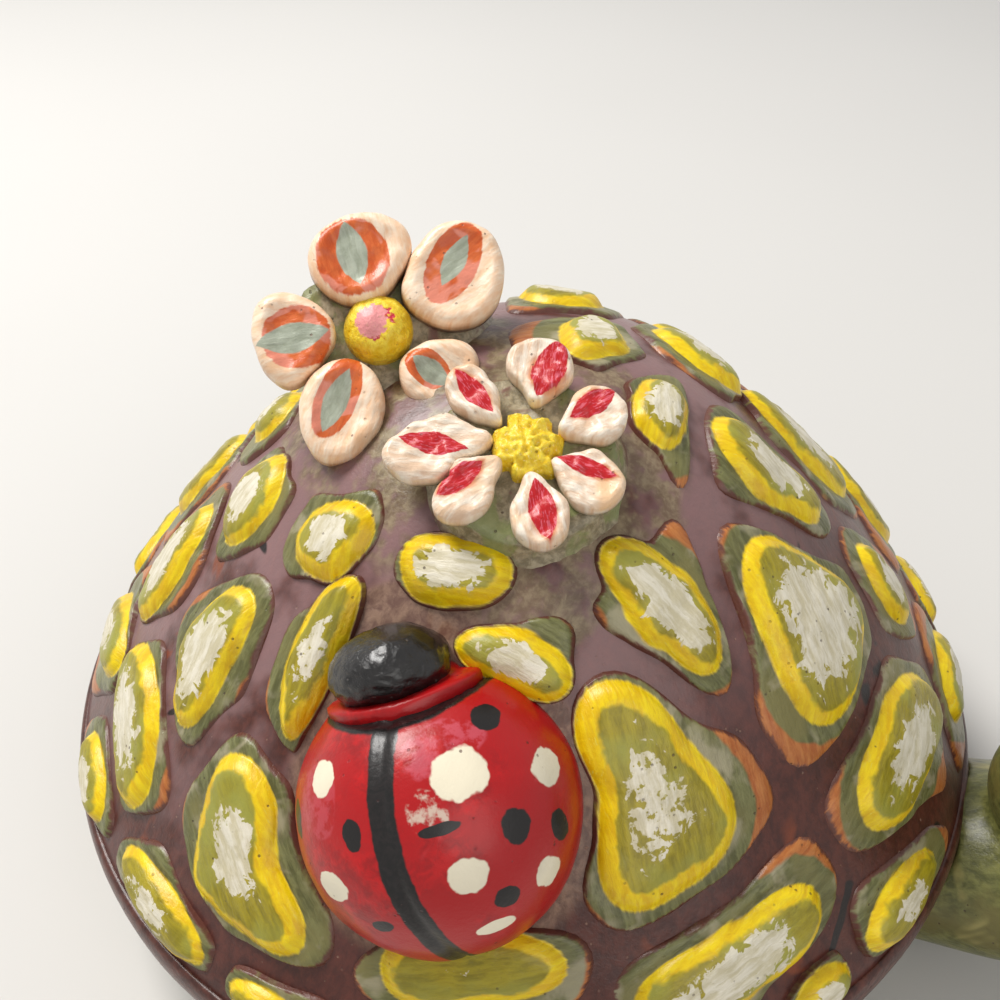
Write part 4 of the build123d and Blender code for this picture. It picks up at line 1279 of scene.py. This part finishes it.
def bug_red(name):
    """The start of the ladybug's paint: glossy red, worn pink in places."""
    pot = Paint(name, ridge=0.5, draw=(4.0, 4.0, 4.0), fineness=1.2)
    red = pot.streaked((146, 6, 12), (190, 14, 18), 0.34, 0.70)
    red = pot.mix(pot.step(pot.drift, 0.62, 0.50), red, (168, 8, 14))
    worn = pot.step(pot.patches(130.0, 3.0, 0.6, 0.5), 0.64, 0.72)
    return pot, pot.mix(pot.times(worn, 0.4), red, (196, 70, 76))


def bug_finish(pot, paint):
    return pot.finish(paint, varnish=0.22, bump=0.30, rough=0.34, speck=(70, 20, 20))


def bug_back_paint():
    """Red with hand-dotted white and black spots, a black line and a black front edge."""
    pot, red = bug_red("ladybug_back_paint")
    away = pot.vector("SUBTRACT", pot.place, BUG * MM)
    side, ahead, out = (
        pot.times(pot.vector("DOT_PRODUCT", away, axis), 1 / MM) for axis in (BUG_SIDE, BUG_AHEAD, BUG_OUT)
    )
    local = pot.add("CombineXYZ", {0: side, 1: ahead, 2: out}).outputs[0]
    rough, loose = pot.step(pot.patches(620.0, 3.0), 0.40, 0.56), pot.sway(pot.drift, 1.6)
    for centre, size, share, shade in SMEARS:
        smear = pot.times(pot.dot(local, centre, size, loose), rough)
        red = pot.mix(pot.times(smear, share), red, shade)
    wobble = pot.sway(pot.patches(500.0, 2.0), 0.55)
    for shade, rows in (((18, 14, 14), BLACK_DOTS), ((236, 226, 200), WHITE_DOTS)):
        paint = pot.mix(pot.step(pot.drift, 0.35, 0.65), [c * 0.93 for c in shade], shade)
        for centre, wide, long in rows:
            size = (wide / 2, long / 2, max(wide, long) / 2 + DOT_DEPTH)
            red = pot.mix(pot.dot(local, centre, size, wobble), red, paint)
    black = pot.mix(pot.step(pot.bristle, 0.35, 0.65), (12, 9, 9), (26, 20, 20))
    shifted, bend = pot.plus(ahead, LINE_BACK), pot.minus(side, FRONT_SIDE)
    line = pot.times_plus(pot.times(shifted, shifted), LINE_BEND, LINE_SIDE)
    aside = pot.plus(pot.math("ABSOLUTE", pot.minus(side, line)), pot.times(wobble, 1.2))
    middle = pot.times(pot.step(aside, 1.85, 1.55), pot.step(out, 2.0, 3.0))
    edge = pot.times_plus(pot.times(bend, bend), FRONT_BEND, BLACK_EDGE)
    front = pot.minus(pot.plus(ahead, pot.times(wobble, 0.8)), edge)
    red = pot.mix(pot.math("MAXIMUM", middle, pot.step(front, 0.0, 0.35)), red, black)
    return bug_finish(pot, red)


def cap_paint():
    pot = Paint("cap_paint", ridge=0.9, draw=(5.0, 5.0, 5.0), fineness=2.0)
    black = pot.streaked((8, 6, 7), (20, 17, 17), 0.34, 0.70)
    dust = pot.step(pot.patches(240.0, 3.0), 0.64, 0.76)
    black = pot.mix(pot.times(dust, 0.35), black, (84, 74, 70))
    return pot.finish(black, varnish=0.5, bump=0.7, rough=0.24, speck=(84, 74, 70))


def eye_paint():
    pot = Paint("eye_paint", ridge=0.3, draw=(6.0, 6.0, 6.0))
    black = pot.streaked((12, 10, 10), (38, 32, 30), 0.34, 0.70)
    return pot.finish(black, varnish=0.8, bump=0.2, rough=0.18, speck=(70, 62, 58))


bug_back = round_lump("ladybug_back", (0, 0, 0), BUG_RADIUS, 128, back_shape)
dressed(bug_back, bug_back_paint(), "ladybug_red", "ladybug_body")
bug_collar = round_lump("ladybug_crescent", (0, 16.8, 1.6), 10.5, 80, collar_shape)
dressed(bug_collar, bug_finish(*bug_red("ladybug_crescent_paint")), "ladybug_red", "ladybug_collar")
bug_cap = round_lump("ladybug_cap", (0, 21.1, 4.2), 8.7, 80, cap_shape)
dressed(bug_cap, cap_paint(), "ladybug_black", "ladybug_head")

# The eyes stay as they were turned, in glossy black.
gloss = eye_paint()
for node in ("left_eye", "right_eye"):
    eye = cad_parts[node]
    eye.data.materials.clear()
    eye.data.materials.append(gloss)

# A pale floor that turns into the background far off. From here on, lengths are metres.
BACKGROUND = (0.87, 0.86, 0.84, 1)
FLOOR_SIZE = 5.0
FADE_START = 0.55
FADE_END = 1.3
deselect()
bpy.ops.mesh.primitive_plane_add(size=FLOOR_SIZE, location=(0, 0, 0))
floor = bpy.context.object
floor.name = floor.data.name = "studio_floor"
studio = bpy.data.materials.new("studio_grey")
studio.use_nodes = True
tree = Tree(studio.node_tree)
matt = studio.node_tree.nodes["Principled BSDF"]
place = tree.add("TexCoord").outputs["Object"]
mottle = tree.mix(tree.noise(place, 3.0, 2.0), (206, 204, 200), (214, 212, 208))
tree.put(matt.inputs["Base Color"], mottle)
tree.put(matt.inputs["Roughness"], 0.9)
glow = tree.add("Emission", {"Color": BACKGROUND, "Strength": 1.0})
fade = tree.step(tree.vector("LENGTH", place), FADE_START, FADE_END)
surface = tree.add("MixShader", {0: fade, 1: matt.outputs[0], 2: glow.outputs[0]})
tree.put(studio.node_tree.nodes["Material Output"].inputs["Surface"], surface.outputs[0])
floor.data.materials.append(studio)


def aimed(name, data, place, way):
    """Puts a lamp or a camera at a place, looking a way."""
    item = bpy.data.objects.new(name, data)
    bpy.context.collection.objects.link(item)
    item.location = place
    item.rotation_euler = Vector(way).to_track_quat("-Z", "Y").to_euler()
    return item


def lamp(name, place, size, power, tint):
    """A round soft lamp that lights the turtle's middle."""
    data = bpy.data.lights.new(name, "AREA")
    data.shape = "DISK"
    data.size = size
    data.energy = power
    data.color = tint
    aimed(name, data, place, Vector(LIT_PLACE) - Vector(place))


# Daylight from a large window, and a soft room.
LIT_PLACE = (0, 0, 0.05)
ROOM_LIGHT = 0.42
ROOM_TINT = (0.94, 0.96, 1.0)
lamp("window", (-0.55, 0.15, 0.95), 0.45, 12.0, (1.0, 0.98, 0.95))
lamp("room", (0.7, -0.7, 0.6), 0.9, 3.5, (1.0, 0.97, 0.93))
world = bpy.data.worlds.new("studio_room")
world.use_nodes = True
bpy.context.scene.world = world
tree = Tree(world.node_tree)
rays = tree.add("LightPath").outputs
seen = tree.math("MAXIMUM", rays["Is Camera Ray"], rays["Is Glossy Ray"])
seen = tree.math("MAXIMUM", seen, rays["Is Transmission Ray"])
dim = (*(ROOM_LIGHT * c for c in ROOM_TINT), 1)
tree.put(world.node_tree.nodes["Background"].inputs["Color"], tree.mix(seen, dim, BACKGROUND))

# The camera stands where the photograph was taken, close above the shell's near side.
CAMERA_PLACE = (0.0378, -0.1298, 0.1798)
CAMERA_WAY = (-0.2367, 0.7286, -0.6428)
HALF_VIEW = math.radians(25)
lens = bpy.data.cameras.new("photo_camera")
lens.sensor_width = 36
lens.lens = lens.sensor_width / 2 / math.tan(HALF_VIEW)
lens.clip_start = 0.005
bpy.context.scene.camera = aimed("photo_camera", lens, CAMERA_PLACE, CAMERA_WAY)
bpy.context.scene.view_settings.view_transform = "Standard"
